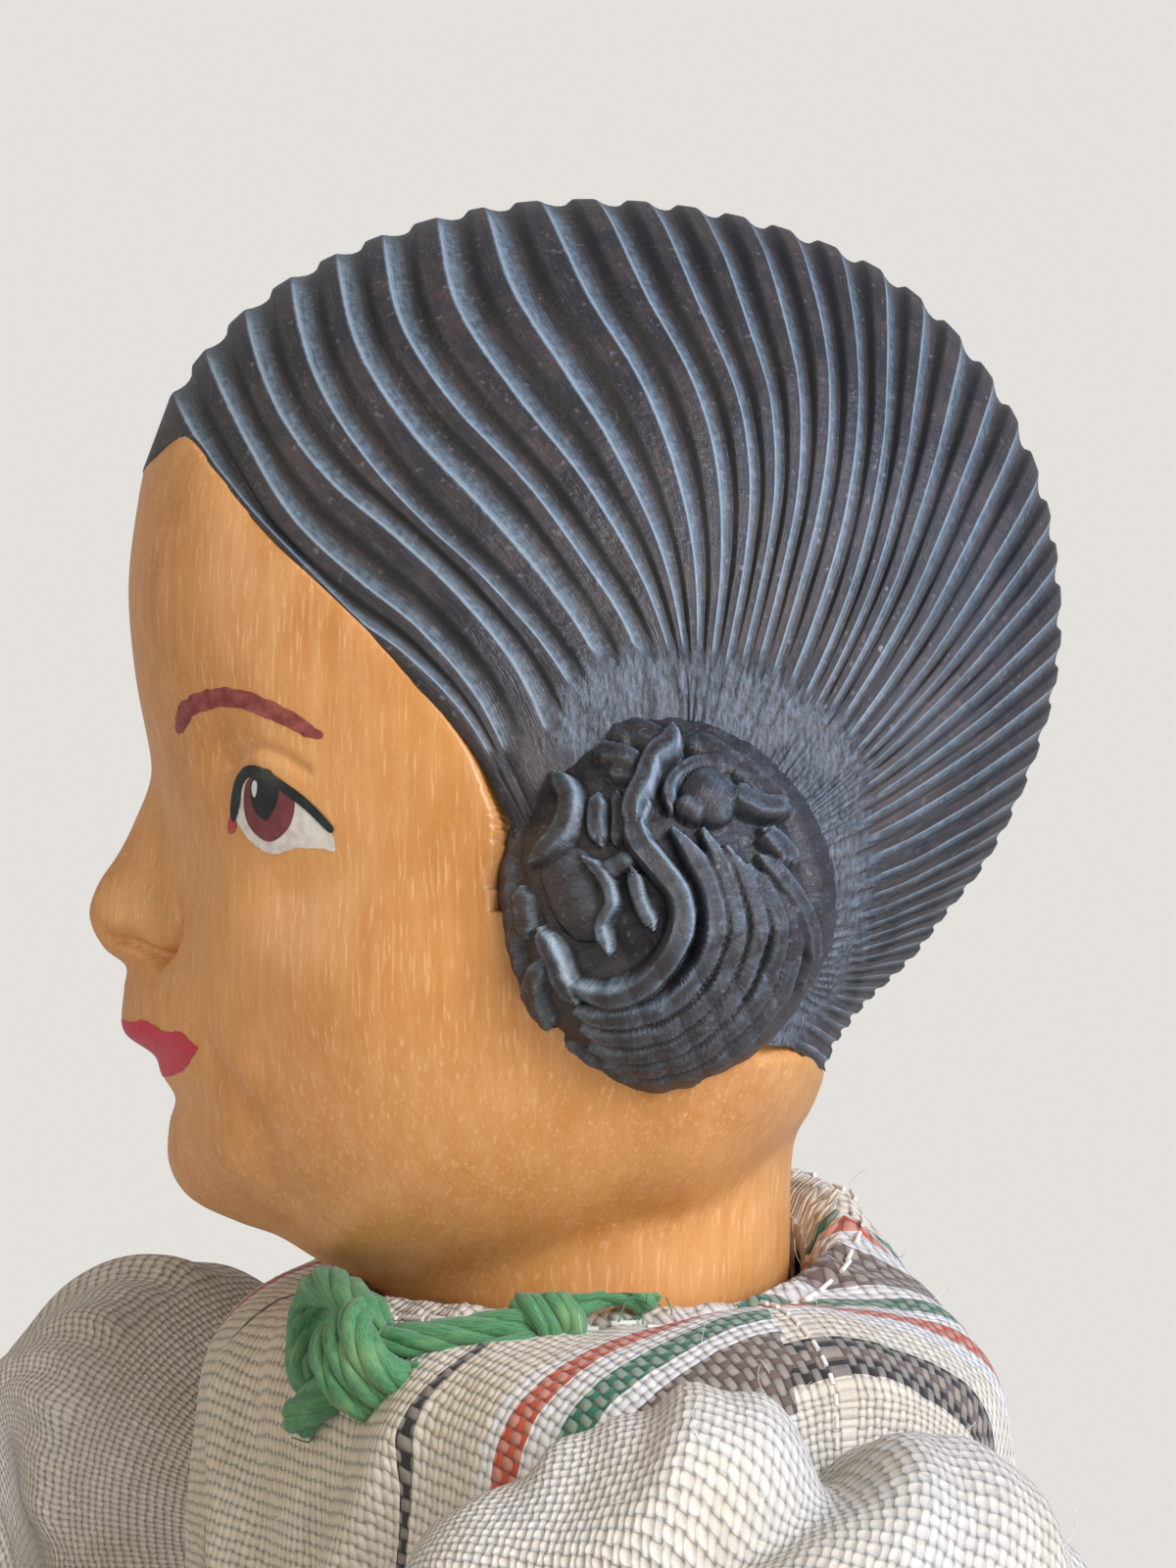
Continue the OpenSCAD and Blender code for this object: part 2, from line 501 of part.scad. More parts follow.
// One ring, moved in by a part of the cloth's thickness, and down where the shoulders lie flat
function blouse_ring(row, t) =
    let (z = along(hem_z, collar_z, row[0]) - t * ease((row[0] - 0.88) / 0.1))
    let (wide = shoulder_x * row[1] - t, deep = shoulder_x * row[2] - t)
    raised(clip_x(folded(oval(wide, deep, z, blouse_n, 2.6), 10, shoulder_x * row[3]), side_x - t),
        collar_back_rise * row[4]);
function collar_ring(t) = raised(oval(collar_r - t / 2, collar_r - t / 2, collar_z + cloth_t / 2 - t,
    blouse_n, 2), collar_back_rise);
module blouse_body() {
    color(cloth_colour) difference() {
        skin(concat([for (row = blouse_shares) blouse_ring(row, 0)], [collar_ring(0), collar_ring(cloth_t)],
            [for (i = [len(blouse_shares) - 1:-1:0]) blouse_ring(blouse_shares[i], cloth_t)]), loop = true);
        for (side = [-1, 1]) mirror([side < 0 ? 1 : 0, 0, 0])
            across(shoulder_x - 4 * cloth_t, shoulder_x + over, boss_r + cloth_gap, 0, shoulder_z);
    }
}

// Sleeve: rings across the arm from above the shoulder to the cuff, flat where it meets the trunk
sleeve_n = 32;
sleeve_side = shoulder_x + soft_gap;
// Place along the sleeve as a share of its length, then radius and way forward as shares of the puff's radius
sleeve_shares = [[-0.4, 0.12, 0.05], [-0.385, 0.4, 0.06], [-0.33, 0.65, 0.08], [-0.22, 0.88, 0.12],
    [-0.08, 1.02, 0.2], [0.12, 1.08, 0.28], [0.34, 1.06, 0.26], [0.55, 0.98, 0.18], [0.72, 0.88, 0.09],
    [0.86, 0.76, 0.03], [0.95, 0.66, 0], [1, 0.6, 0]];
function sleeve_ring(row) = let (r = row[1] >= 0.61 ? sleeve_r * row[1] : min(cuff_r, sleeve_r * row[1]))
    [for (p = folded(oval(r, r, -row[0] * sleeve_len, sleeve_n, 2.1), 8, r * 0.06 * ease(row[0] * 2 + 0.2)))
        [max(sleeve_side - arm_x, p.x), p.y - sleeve_r * row[2], p.z]];
module arm_cavity() {
    wide = shoulder_r + cloth_gap;
    across(sleeve_side - arm_x - over, arm_r + face_gap + peg_head_t + cloth_gap, wide);
    translate([0, 0, -sleeve_len - over]) cylinder(h = sleeve_len + over, r = arm_r + cloth_gap);
}
module sleeve() {
    color(cloth_colour) at_shoulder() difference() {
        skin([for (i = [len(sleeve_shares) - 1:-1:0]) sleeve_ring(sleeve_shares[i])]);
        arm_cavity();
    }
}

// Tie: a floss cord along the front of the collar, with a looped knot in front, a smaller one to the left
// of it and one loose end that hangs. Sizes below are multiples of the cord's radius.
tie_r = tie_d / 2;
tie_path_r = collar_r + cloth_t + tie_r * 0.3;
tie_z = seat_z - tie_r * 0.55;
tie_n = 14;
// Angle from the front, way out, way up, half height and half thickness
tie_shares = [[-9, 0.3, -0.2, 0.5, 0.5], [-7, 0.5, -0.1, 1.1, 1], [-3, 0.7, 0, 1.7, 1.5],
    [1, 0.7, -0.1, 1.7, 1.5], [4.5, 0.6, -0.3, 1.5, 1.4], [8, 0.6, -0.5, 2, 1.9], [11, 0.6, -0.5, 2.1, 2],
    [14, 0.5, -0.3, 1.9, 1.7], [17, 0.3, -0.1, 1.5, 1.1], [23, 0.1, 0, 1.35, 0.8], [31, 0, 0.2, 1.35, 0.75],
    [40, 0, 0.45, 1.3, 0.75], [46, 0, 0.65, 1.2, 0.9], [49, 0, 0.7, 1.25, 1.15], [52, 0, 0.75, 1.2, 1.25],
    [55, 0, 0.8, 1.1, 1.1], [57.5, 0, 0.95, 0.75, 0.75], [61, 0, 1.1, 0.65, 0.6], [65, 0, 1.2, 0.65, 0.5],
    [67, 0, 1.2, 0.3, 0.25]];
// Way up from the cord, half width and half thickness of the hanging end
tail_angle = 4;
tail_shares = [[-3.9, 0.45, 0.4], [-3.6, 1.05, 0.9], [-2.8, 1.15, 0.95], [-1.9, 1, 0.9], [-0.9, 0.9, 0.9]];
function tie_ring(row) = let (half_h = row[3] * tie_r, half_t = row[4] * tie_r)
    [for (k = [0:tie_n - 1])
        let (turn = 360 * k / tie_n, far = tie_path_r + row[1] * tie_r + half_t * cos(turn))
        [far * sin(row[0]), -far * cos(row[0]), tie_z + row[2] * tie_r - half_h * sin(turn)]];
function tail_ring(row) =
    [for (k = [0:tie_n - 1]) let (turn = 360 * k / tie_n)
        [row[1] * tie_r * cos(turn), row[2] * tie_r * sin(turn), row[0] * tie_r]];
module neck_tie() {
    color(tie_colour) {
        skin([for (row = tie_shares) tie_ring(row)]);
        rotate([0, 0, tail_angle]) translate([0, -tie_path_r - tie_r * 1.3, tie_z])
            skin([for (row = tail_shares) tail_ring(row)]);
    }
}

// Drawers: a band round the trunk under the blouse and a loose leg on each thigh
band_low = hip_z + hip_r * 1.35;
band_high = hip_z + trunk_len * 0.4;
band_n = 36;
band_gap = cloth_gap * 0.6;
band_t = cloth_t * 0.5;
function band_ring(z, grow) = oval(trunk_wide_at(z) + grow, trunk_deep_at(z) + grow, z, band_n);
module drawers_band() {
    levels = [for (u = [0, 0.35, 0.7, 1]) along(band_low, band_high, u)];
    color(cloth_colour) skin(concat(
        [for (z = levels) band_ring(z, band_gap + band_t)],
        [for (i = [3:-1:0]) band_ring(levels[i], band_gap)]), loop = true);
}
drawers_n = 36;
drawers_top = hip_z - hip_r - cloth_gap;
drawers_hem = knee_z + drawers_hem_up;
// Height as a share from hem to top, radius as a share of the fullest
drawers_shares = [[0, 0.9], [0.06, 0.8], [0.11, 0.74], [0.15, 0.76], [0.22, 0.88], [0.34, 0.97], [0.52, 1],
    [0.72, 1], [0.9, 0.97], [1, 0.88]];
function drawers_ring(row) = [for (p = folded(oval(drawers_r * row[1], drawers_r * row[1],
    along(drawers_hem, drawers_top, row[0]), drawers_n, 2), 9, drawers_r * 0.035))
    [max(soft_gap / 2 - hip_x, p.x), p.y, p.z]];
module drawers_leg() {
    inside = concat([[thigh_table[0].x + cloth_gap / 2, over]],
        [for (p = thigh_table) [p.x + cloth_gap / 2, p.y]]);
    color(cloth_colour) translate([hip_x, 0, 0]) difference() {
        skin([for (row = drawers_shares) drawers_ring(row)]);
        translate([0, 0, hip_z]) turned_shaft(inside);
    }
}

module placed() { translate([0, -centre_y, 0]) children(); }
module on_left() { placed() children(); }
module on_right() { placed() mirror([1, 0, 0]) children(); }

placed() head();
placed() neck_dowel();
placed() neck_pin();
placed() torso();
on_left() shoulder_peg();  // shoulder_peg_left
on_right() shoulder_peg();  // shoulder_peg_right
on_left() upper_arm();  // upper_arm_left
on_right() upper_arm();  // upper_arm_right
on_left() elbow_peg();  // elbow_peg_left
on_right() elbow_peg();  // elbow_peg_right
on_left() forearm();  // forearm_left
on_right() forearm();  // forearm_right
on_left() hip_peg();  // hip_peg_left
on_right() hip_peg();  // hip_peg_right
on_left() thigh();  // thigh_left
on_right() thigh();  // thigh_right
on_left() knee_peg();  // knee_peg_left
on_right() knee_peg();  // knee_peg_right
on_left() shin();  // shin_left
on_right() shin();  // shin_right
placed() blouse_body();
on_left() sleeve();  // sleeve_left
on_right() sleeve();  // sleeve_right
placed() neck_tie();
placed() drawers_band();
on_left() drawers_leg();  // drawers_left
on_right() drawers_leg();  // drawers_right
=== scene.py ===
import math

import bmesh
import bpy
import numpy as np
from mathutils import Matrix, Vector
from mathutils.geometry import delaunay_2d_cdt


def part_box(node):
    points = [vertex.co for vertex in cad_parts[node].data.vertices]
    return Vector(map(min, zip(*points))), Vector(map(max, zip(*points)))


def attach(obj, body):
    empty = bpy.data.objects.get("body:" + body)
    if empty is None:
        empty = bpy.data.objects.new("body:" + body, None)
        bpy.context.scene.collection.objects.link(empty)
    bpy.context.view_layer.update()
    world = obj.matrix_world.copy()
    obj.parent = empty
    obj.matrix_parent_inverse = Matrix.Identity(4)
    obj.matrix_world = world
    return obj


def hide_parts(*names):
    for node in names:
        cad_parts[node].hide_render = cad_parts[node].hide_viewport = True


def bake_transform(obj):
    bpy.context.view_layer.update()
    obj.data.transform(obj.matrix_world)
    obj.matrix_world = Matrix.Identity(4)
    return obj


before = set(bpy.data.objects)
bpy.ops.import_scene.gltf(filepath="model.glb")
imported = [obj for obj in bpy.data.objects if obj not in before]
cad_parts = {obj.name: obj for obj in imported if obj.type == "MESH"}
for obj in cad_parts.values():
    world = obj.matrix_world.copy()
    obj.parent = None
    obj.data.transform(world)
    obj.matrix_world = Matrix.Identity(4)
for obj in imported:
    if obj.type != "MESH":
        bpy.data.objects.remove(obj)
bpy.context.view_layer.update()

# Camera. The photograph is a close view of the left side of the head, which is turned 30 degrees to the
# doll's right at rest. The camera stands square to the head's side, level with its middle.
dowel_low, dowel_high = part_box("neck_dowel")
axis_y = (dowel_low.y + dowel_high.y) / 2
head_turn = math.radians(30)
view_distance = 210
view_height = 280.4
photo_wide, photo_high = 1200, 1600
pixel_mm = 0.05  # what a pixel of the photograph shows at the middle of the head
sensor_mm = 36


def place(points):
    """Millimetres about the neck's axis, put where the frame has them, in metres."""
    moved = np.array(points, float) / 1000
    moved[..., 1] += axis_y
    return moved


def turned(points):
    """From the directions of the head to those of the doll."""
    c, s = math.cos(head_turn), math.sin(head_turn)
    x, y, z = points[..., 0], points[..., 1], points[..., 2]
    return np.stack([c * x + s * y, c * y - s * x, z], -1)


def new_object(name, data):
    made = bpy.data.objects.new(name, data)
    bpy.context.collection.objects.link(made)
    return made


def aimed(name, data, at, toward):
    """A camera or a lamp that looks from one place toward another."""
    made = new_object(name, data)
    made.location = at
    made.rotation_euler = (Vector(toward) - made.location).to_track_quat("-Z", "Y").to_euler()
    return made


camera_data = bpy.data.cameras.new("camera")
camera_data.sensor_width = sensor_mm
camera_data.lens = sensor_mm * view_distance / (photo_high * pixel_mm)
camera_data.clip_start = 0.001
eye, looked_at = (place(turned(np.array([x, 0.0, view_height]))) for x in (view_distance, 0.0))
bpy.context.scene.camera = aimed("camera", camera_data, eye, looked_at)

# Floor and light. A pale table top that fades into a pale room, lit by a large soft window to the right of
# the camera, a warm one in front of the face, a small blue one beyond the back of the head and a weak warm
# one low on the right.
bpy.context.scene.view_settings.view_transform = "Standard"


def linear(code):
    """An sRGB hex colour as linear values."""
    parts = [int(code[i : i + 2], 16) / 255 for i in (1, 3, 5)]
    return [p / 12.92 if p <= 0.04045 else ((p + 0.055) / 1.055) ** 2.4 for p in parts] + [1]


def add(tree, kind, inputs=None, **settings):
    """One node with its settings, a geometry node by its full name. An input is a value, a hex colour
    or another node's output."""
    made = tree.nodes.new("ShaderNode" + kind if tree.type == "SHADER" else kind)
    for name, value in settings.items():
        setattr(made, name, value)
    for name, value in (inputs or {}).items():
        socket = made.inputs[name]
        if isinstance(value, bpy.types.NodeSocket):
            tree.links.new(value, socket)
        else:
            socket.default_value = linear(value) if isinstance(value, str) else value
    return made


def material(name):
    made = bpy.data.materials.new(name)
    made.use_nodes = True
    made.node_tree.nodes.clear()
    return made, made.node_tree


pale_room = "#e4e1dc"
world = bpy.data.worlds.new("pale_room")
bpy.context.scene.world = world
world.use_nodes = True
tree = world.node_tree
tree.nodes.clear()
path = add(tree, "LightPath")
seen = add(tree, "Background", {"Color": pale_room, "Strength": 1.0})
fill = add(tree, "Background", {"Color": "#f2f4f8", "Strength": 0.36})
both = add(tree, "MixShader", {0: path.outputs["Is Camera Ray"], 1: fill.outputs[0], 2: seen.outputs[0]})
add(tree, "OutputWorld", {"Surface": both.outputs[0]})

# Matt paint, faintly mottled, that fades into the room far from the doll
floor_material, tree = material("pale_table")
spot = add(tree, "TexCoord").outputs["Object"]
far = add(tree, "VectorMath", {0: spot}, operation="LENGTH").outputs["Value"]
fade = add(tree, "MapRange", {"Value": far, "From Min": 0.55, "From Max": 1.1})
grain = add(tree, "TexNoise", {"Vector": spot, "Scale": 60.0, "Detail": 4.0})
tone = add(tree, "Mix", {0: grain.outputs[0], 6: "#e2dfda", 7: "#dad7d1"}, data_type="RGBA")
top = add(tree, "BsdfPrincipled", {"Base Color": tone.outputs[2], "Roughness": 0.7})
clear = add(tree, "BsdfTransparent")
mixed = add(tree, "MixShader", {0: fade.outputs[0], 1: top.outputs[0], 2: clear.outputs[0]})
add(tree, "OutputMaterial", {"Surface": mixed.outputs[0]})


def new_piece(name, corners, faces, finish, uv=None):
    """A smooth mesh piece; uv has one entry for each corner."""
    mesh = bpy.data.meshes.new(name)
    mesh.from_pydata(corners, [], faces)
    if uv is not None:
        layer = mesh.uv_layers.new(name="cloth")
        ends = np.zeros(len(mesh.loops), int)
        mesh.loops.foreach_get("vertex_index", ends)
        layer.data.foreach_set("uv", np.asarray(uv, float).reshape(-1, 2)[ends].ravel())
    mesh.shade_smooth()
    mesh.materials.append(finish)
    return new_object(name, mesh)


floor_r = 1.2
turns = np.linspace(0, 2 * math.pi, 97)[:-1]
rim = [(floor_r * math.cos(t), axis_y + floor_r * math.sin(t), 0) for t in turns]
floor = new_piece("floor", rim, [list(range(len(rim)))], floor_material)


def lamp(name, at, toward, size, power, colour):
    data = bpy.data.lights.new(name, "AREA")
    data.shape = "RECTANGLE"
    data.size, data.size_y = size
    data.energy = power
    data.color = linear(colour)[:3]
    aimed(name, data, at, toward)


head_middle = place([0, 0, 275])
lamp("window", (0.78, 0.13, 0.62), head_middle, (0.34, 0.42), 7.6, "#f1f5ff")
lamp("face_window", (-0.25, -0.95, 0.55), head_middle, (0.5, 0.6), 2.6, "#ffe9cc")
lamp("sky_window", (0.55, 0.62, 0.72), head_middle, (0.3, 0.3), 2.8, "#a4c2ff")
lamp("room_fill", (0.92, 0.1, 0.05), head_middle, (0.7, 0.7), 3.0, "#fff1e0")

# Trunk, limbs and pegs. Turned and carved limewood under one coat of honey varnish; the pegs are bare
# beech, and the shoes are painted black on the wood of the shins.


def wood(name, pale, mid, deep, gloss, coat=0.0):
    """Limewood: short pale fibres along the grain with painted highlights on them as glints, a slow change of colour
    and fine dark pores.
    """
    made, tree = material(name)
    at = add(tree, "TexCoord").outputs["Object"]
    fibre_at = add(tree, "Mapping", {"Vector": at, "Scale": (1.0, 1.0, 0.1)}).outputs[0]
    # fibres 0.2 mm wide and about 2 mm long
    fibre = add(tree, "TexNoise", {"Vector": fibre_at, "Scale": 5200.0, "Detail": 3.0, "Roughness": 0.6})
    broad = add(tree, "TexNoise", {"Vector": at, "Scale": 90.0, "Detail": 4.0, "Roughness": 0.6})
    figure = add(tree, "TexNoise", {"Vector": fibre_at, "Scale": 1300.0, "Detail": 5.0, "Distortion": 0.3})
    patch = add(tree, "MapRange", {"Value": broad.outputs[0], "From Min": 0.38, "From Max": 0.66})
    body = add(tree, "Mix", {0: patch.outputs[0], 6: mid, 7: deep}, data_type="RGBA")
    streak = add(tree, "MapRange", {"Value": figure.outputs[0], "From Min": 0.42, "From Max": 0.72, "To Max": 0.22})
    tone = add(tree, "Mix", {0: streak.outputs[0], 6: body.outputs[2], 7: pale}, data_type="RGBA")
    # painted highlight: pale glints along the fibres
    glint = add(tree, "MapRange", {"Value": fibre.outputs[0], "From Min": 0.55, "From Max": 0.7,
                                   "To Max": 0.5})
    tone = add(tree, "Mix", {0: glint.outputs[0], 6: tone.outputs[2], 7: pale}, data_type="RGBA")
    pore = add(tree, "MapRange", {"Value": fibre.outputs[0], "From Min": 0.4, "From Max": 0.28,
                                  "To Max": 0.35})
    tone = add(tree, "Mix", {0: pore.outputs[0], 6: tone.outputs[2], 7: deep}, data_type="RGBA")
    bump = add(tree, "Bump", {"Height": fibre.outputs[0], "Strength": 0.35, "Distance": 0.00005})
    shader = add(tree, "BsdfPrincipled", {
        "Base Color": tone.outputs[2], "Roughness": gloss, "Normal": bump.outputs[0],
        "Coat Weight": coat, "Coat Roughness": 0.3})
    add(tree, "OutputMaterial", {"Surface": shader.outputs[0]})
    return made, tree, shader, tone, fibre


# Varnished limewood is warm and satin; bare beech is paler and dry
limb_wood = wood("varnished_limewood", "#e6bd84", "#cf9559", "#b87a42", 0.42)[0]
peg_wood = wood("bare_beech", "#ecd0a2", "#d9b283", "#c0925f", 0.6)[0]

# Black paint, rubbed through to brown along the raised fibres
shoe_wood, tree, shader, tone, fibre = wood("limewood_with_painted_shoe", "#e6bd84", "#cf9559", "#b87a42", 0.42)
spot = add(tree, "TexCoord").outputs["Object"]
split = add(tree, "SeparateXYZ", {0: spot})
wave = add(tree, "TexNoise", {"Vector": spot, "Scale": 500.0, "Detail": 2.0})
lift = add(tree, "Math", {0: wave.outputs[0], 1: 0.0008, 2: split.outputs["Z"]}, operation="MULTIPLY_ADD")
shoe_top = 0.0152
painted = add(tree, "MapRange", {"Value": lift.outputs[0], "From Min": shoe_top + 0.0001,
                                 "From Max": shoe_top - 0.0001})
worn = add(tree, "MapRange", {"Value": fibre.outputs[0], "From Min": 0.6, "From Max": 0.66, "To Max": 0.35})
black = add(tree, "Mix", {0: worn.outputs[0], 6: "#1d1b1c", 7: "#4a3a33"}, data_type="RGBA")
coloured = add(tree, "Mix", {0: painted.outputs[0], 6: tone.outputs[2], 7: black.outputs[2]}, data_type="RGBA")
tree.links.new(coloured.outputs[2], shader.inputs["Base Color"])


def dress(name, finish):
    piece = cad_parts[name]
    piece.data.materials.clear()
    piece.data.materials.append(finish)


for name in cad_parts:
    if name.startswith(("torso", "upper_arm", "forearm", "thigh")):
        dress(name, limb_wood)
    elif name.startswith("shin"):
        dress(name, shoe_wood)
    elif "peg" in name or name in ("neck_dowel", "neck_pin"):
        dress(name, peg_wood)

# Head. Carved from one block of limewood: a round face with a small nose and full cheeks, varnished a
# warm honey, over a thick neck. Its surface is a distance from the middle between the two hair buns for
# each direction: an angle in the side view, from straight forward over the crown, and a latitude.
head_size = 52.0
head_wide = 38.0
neck_r = 10.3
neck_seat = 253.8
bun_up = 20.6
bun_r = 8.4
bun_rise = 4.9
bun_y = 0.072 * head_size
bun_z = neck_seat + bun_up
bun_in = head_wide / 2 + bun_rise - bun_r
head_centre = np.array([0.0, bun_y, bun_z])
# Distance to the outline at the middle, as shares of the head's size
outline_shares = [
    (-150, .217), (-139, .219), (-124, .25), (-110, .273), (-95, .313), (-80, .34), (-66, .402),
    (-55, .45), (-47, .479), (-41, .496), (-37, .519), (-32, .545), (-28, .546), (-24, .527),
    (-22, .513), (-19, .517), (-16.8, .518), (-13.5, .541), (-9, .533), (-6.8, .529), (-4.8, .548),
    (-1.5, .561), (1.5, .554), (5, .535), (8.5, .523), (13.5, .515), (17, .525), (24, .563),
    (31, .606), (37, .64), (43, .677), (50, .698), (57, .708), (66, .706), (76, .699), (88, .684),
    (100, .668), (110, .65), (118, .622), (126, .585), (134, .54), (142, .492), (150, .444),
    (158, .394), (166, .35), (174, .312), (182, .277), (192, .25), (202, .227), (210, .217)]
# The same beside the nose, lips and chin, where the cheeks are
cheek_shares = [
    (-47, .473), (-41, .481), (-35, .492), (-28, .498), (-20, .488), (-12, .481), (-4, .477),
    (4, .479), (12, .494), (18, .519), (24, .556), (31, .602)]
# How wide the nose, lips and chin reach to the side
reach_shares = [
    (-47, .154), (-32, .125), (-24, .115), (-16, .125), (-10, .115), (-6, .081), (-2, .069),
    (5, .054), (12, .05), (18, .077), (24, .154), (31, .192)]


def ease(u):
    u = np.clip(u, 0, 1)
    return u * u * (3 - 2 * u)


def bell(u):
    return np.exp(-u ** 2)


def curve(table):
    """Smooth curve through rows of place and value, flat beyond its ends."""
    rows = np.array(table, float)
    x, v = rows[:, 0], rows[:, 1]
    last = len(x) - 1
    before, after = np.maximum(np.arange(last + 1) - 1, 0), np.minimum(np.arange(last + 1) + 1, last)
    m = (v[after] - v[before]) / (x[after] - x[before])

    def value(q):
        q = np.asarray(q, float)
        i = np.clip(np.searchsorted(x, q, side="right") - 1, 0, last - 1)
        w = x[i + 1] - x[i]
        u = np.clip((q - x[i]) / w, 0, 1)
        ends = v[i] * (1 + 2 * u) * (1 - u) ** 2 + v[i + 1] * u * u * (3 - 2 * u)
        return ends + m[i] * w * u * (1 - u) ** 2 - m[i + 1] * w * u * u * (1 - u)

    return value


outline, cheek, reach = curve(outline_shares), curve(cheek_shares), curve(reach_shares)


def direction(angle, lat):
    a, b = np.radians(angle), np.radians(lat)
    return np.stack([np.sin(b), -np.cos(b) * np.cos(a), np.cos(b) * np.sin(a)], -1)


def head_distance(angle, lat):
    """Skull, face and neck without the buns."""
    angle = np.where(angle < -150, angle + 360, np.where(angle > 210, angle - 360, angle))
    middle = head_size * outline(angle)
    in_face = (angle > -47) & (angle < 31)
    zone = ease((angle + 47) / 7) * ease((31 - angle) / 7)
    side = middle + (head_size * cheek(angle) - middle) * zone
    width = head_size * np.where(in_face, reach(angle), 0.19)
    profile = side + (middle - side) * bell(middle * np.sin(np.radians(lat)) / width)
    out = np.abs(np.sin(np.radians(lat))) * 2 / head_wide
    skull = (out ** 2.3 + (np.maximum(np.cos(np.radians(lat)), 1e-9) / profile) ** 2.3) ** (-1 / 2.3)
    d = direction(angle, lat)
    q = np.maximum(d[..., 0] ** 2 + d[..., 1] ** 2, 1e-9)
    b = bun_y * d[..., 1]
    to_side = (-b + np.sqrt(np.maximum(b * b - q * (bun_y ** 2 - neck_r ** 2), 0))) / q
    to_seat = -bun_up / np.minimum(d[..., 2], -1e-6)
    neck = ((to_side / 20) ** -20 + (to_seat / 20) ** -20) ** (-1 / 20) * 20
    neck = np.where(d[..., 2] >= 0, 0, neck)
    return ((skull / 20) ** 20 + (neck / 20) ** 20) ** (1 / 20) * 20


def latitude(angle, radius):
    """The latitude at which the head's surface is this far from the bun's middle, seen from the side."""
    low, high = np.zeros_like(radius), np.full_like(radius, 89.9)
    for _ in range(24):
        mid = (low + high) / 2
        outside = head_distance(angle, mid) * np.cos(np.radians(mid)) > radius
        low, high = np.where(outside, mid, low), np.where(outside, high, mid)
    return (low + high) / 2


def on_side(marks):
    """Points of the photograph as angles and latitudes on the head's left side."""
    marks = np.array(marks, float)
    x = np.full(len(marks), 8.0)  # a first guess of how far to the side they lie
    for _ in range(6):
        size = pixel_mm * (view_distance - x) / view_distance
        y = (marks[:, 0] - photo_wide / 2) * size - bun_y
        z = view_height + (photo_high / 2 - marks[:, 1]) * size - bun_z
        angle = np.degrees(np.arctan2(z, -y))
        most = head_distance(angle, np.zeros_like(angle))
        lat = latitude(angle, np.minimum(np.hypot(y, z), most))
        x = head_distance(angle, lat) * np.sin(np.radians(lat))
    return angle, lat


def smooth_line(points, steps=8, closed=False):
    """A smooth line that passes through the points."""
    p = np.array(points, float)
    if closed:
        p = np.concatenate([p[-1:], p, p[:2]])
    else:
        p = np.concatenate([2 * p[:1] - p[1:2], p, 2 * p[-1:] - p[-2:-1]])
    made = []
    for i in range(1, len(p) - 2):
        a, b, c, d = p[i - 1 : i + 3]
        for t in np.arange(steps) / steps:
            made.append(0.5 * (2 * b + (c - a) * t + (2 * a - 5 * b + 4 * c - d) * t * t
                               + (3 * b - a - 3 * c + d) * t ** 3))
    if not closed:
        made.append(p[-2])
    return np.array(made)


def distance_to(points, line):
    """How far each point is from a run of closely spaced points, and the nearest one's place along it."""
    best = np.full(len(points), 1e9)
    where = np.zeros(len(points))
    for i, q in enumerate(line):
        d = np.linalg.norm(points - q, axis=1)
        where = np.where(d < best, i / max(1, len(line) - 1), where)
        best = np.minimum(best, d)
    return best, where


def on_head(angle, lat, distance=None):
    d = head_distance(angle, lat) if distance is None else distance
    return head_centre + d[..., None] * direction(angle, lat)


# Creases cut in the face: marks in the photograph, depth and half-width in millimetres
creases = [
    ([(164, 977), (176, 962), (182, 944), (181, 926)], 0.85, 0.42),
    ([(106, 957), (122, 960), (141, 967), (161, 977)], 0.85, 0.34),
    ([(202, 1064), (218, 1087), (238, 1110), (256, 1138), (269, 1174), (279, 1199), (292, 1222)], 0.5, 0.85),
    ([(230, 779), (238, 766), (258, 762), (287, 770), (312, 787)], 0.22, 0.3),
]
# Hollows and mounds: mark, depth (mounds are negative), half-width
hollows = [((222, 765), 0.5, 1.7), ((282, 818), -0.3, 2.2), ((205, 880), 0.3, 2.4), ((232, 1180), -0.35, 1.9),
           ((335, 900), 0.2, 2.5), ((285, 908), 0.4, 2.6), ((375, 1010), -0.5, 4.6), ((242, 1090), -0.3, 1.6)]
# Hairline: share of the way from the middle of the head to the bun, and angle in the side view
hairline_rows = [(0, 39.5), (0.045, 41.5), (0.09, 44.2), (0.18, 43.9), (0.29, 43.3), (0.5, 42.9), (0.62, 42.7),
                 (0.71, 41.9), (0.78, 41.1), (0.86, 38.3), (0.92, 33.1), (0.965, 26.9), (0.99, 16.2), (1, 0)]
nape_rows = [(0, 226), (0.5, 226), (0.8, 230), (1, 238)]
hairline, nape = curve(hairline_rows), curve(nape_rows)
hair_inner = 8.3  # the hair's lines end this far from the bun's middle


def share_to_bun(angle, lat, distance):
    most = head_size * outline(np.where(angle > 210, angle - 360, angle))
    return np.clip((most - distance * np.cos(np.radians(lat))) / (most - hair_inner), 0, 1)


def face_distance(angle, lat):
    """The same surface with the face's creases and hollows."""
    d = head_distance(angle, lat)
    points = on_head(angle, lat, d).reshape(-1, 3)
    points[:, 0] = np.abs(points[:, 0])
    cut = np.zeros(len(points))
    near = (points[:, 1] < 1) & (points[:, 2] > 250)
    for marks, depth, half in creases:
        line = on_head(*on_side(smooth_line(marks)))
        cut[near] += depth * bell(distance_to(points[near], line)[0] / half)
    for mark, depth, half in hollows:
        middle = on_head(*on_side([mark]))
        cut[near] += depth * bell(np.linalg.norm(points[near] - middle, axis=1) / half)
    return d - cut.reshape(d.shape)


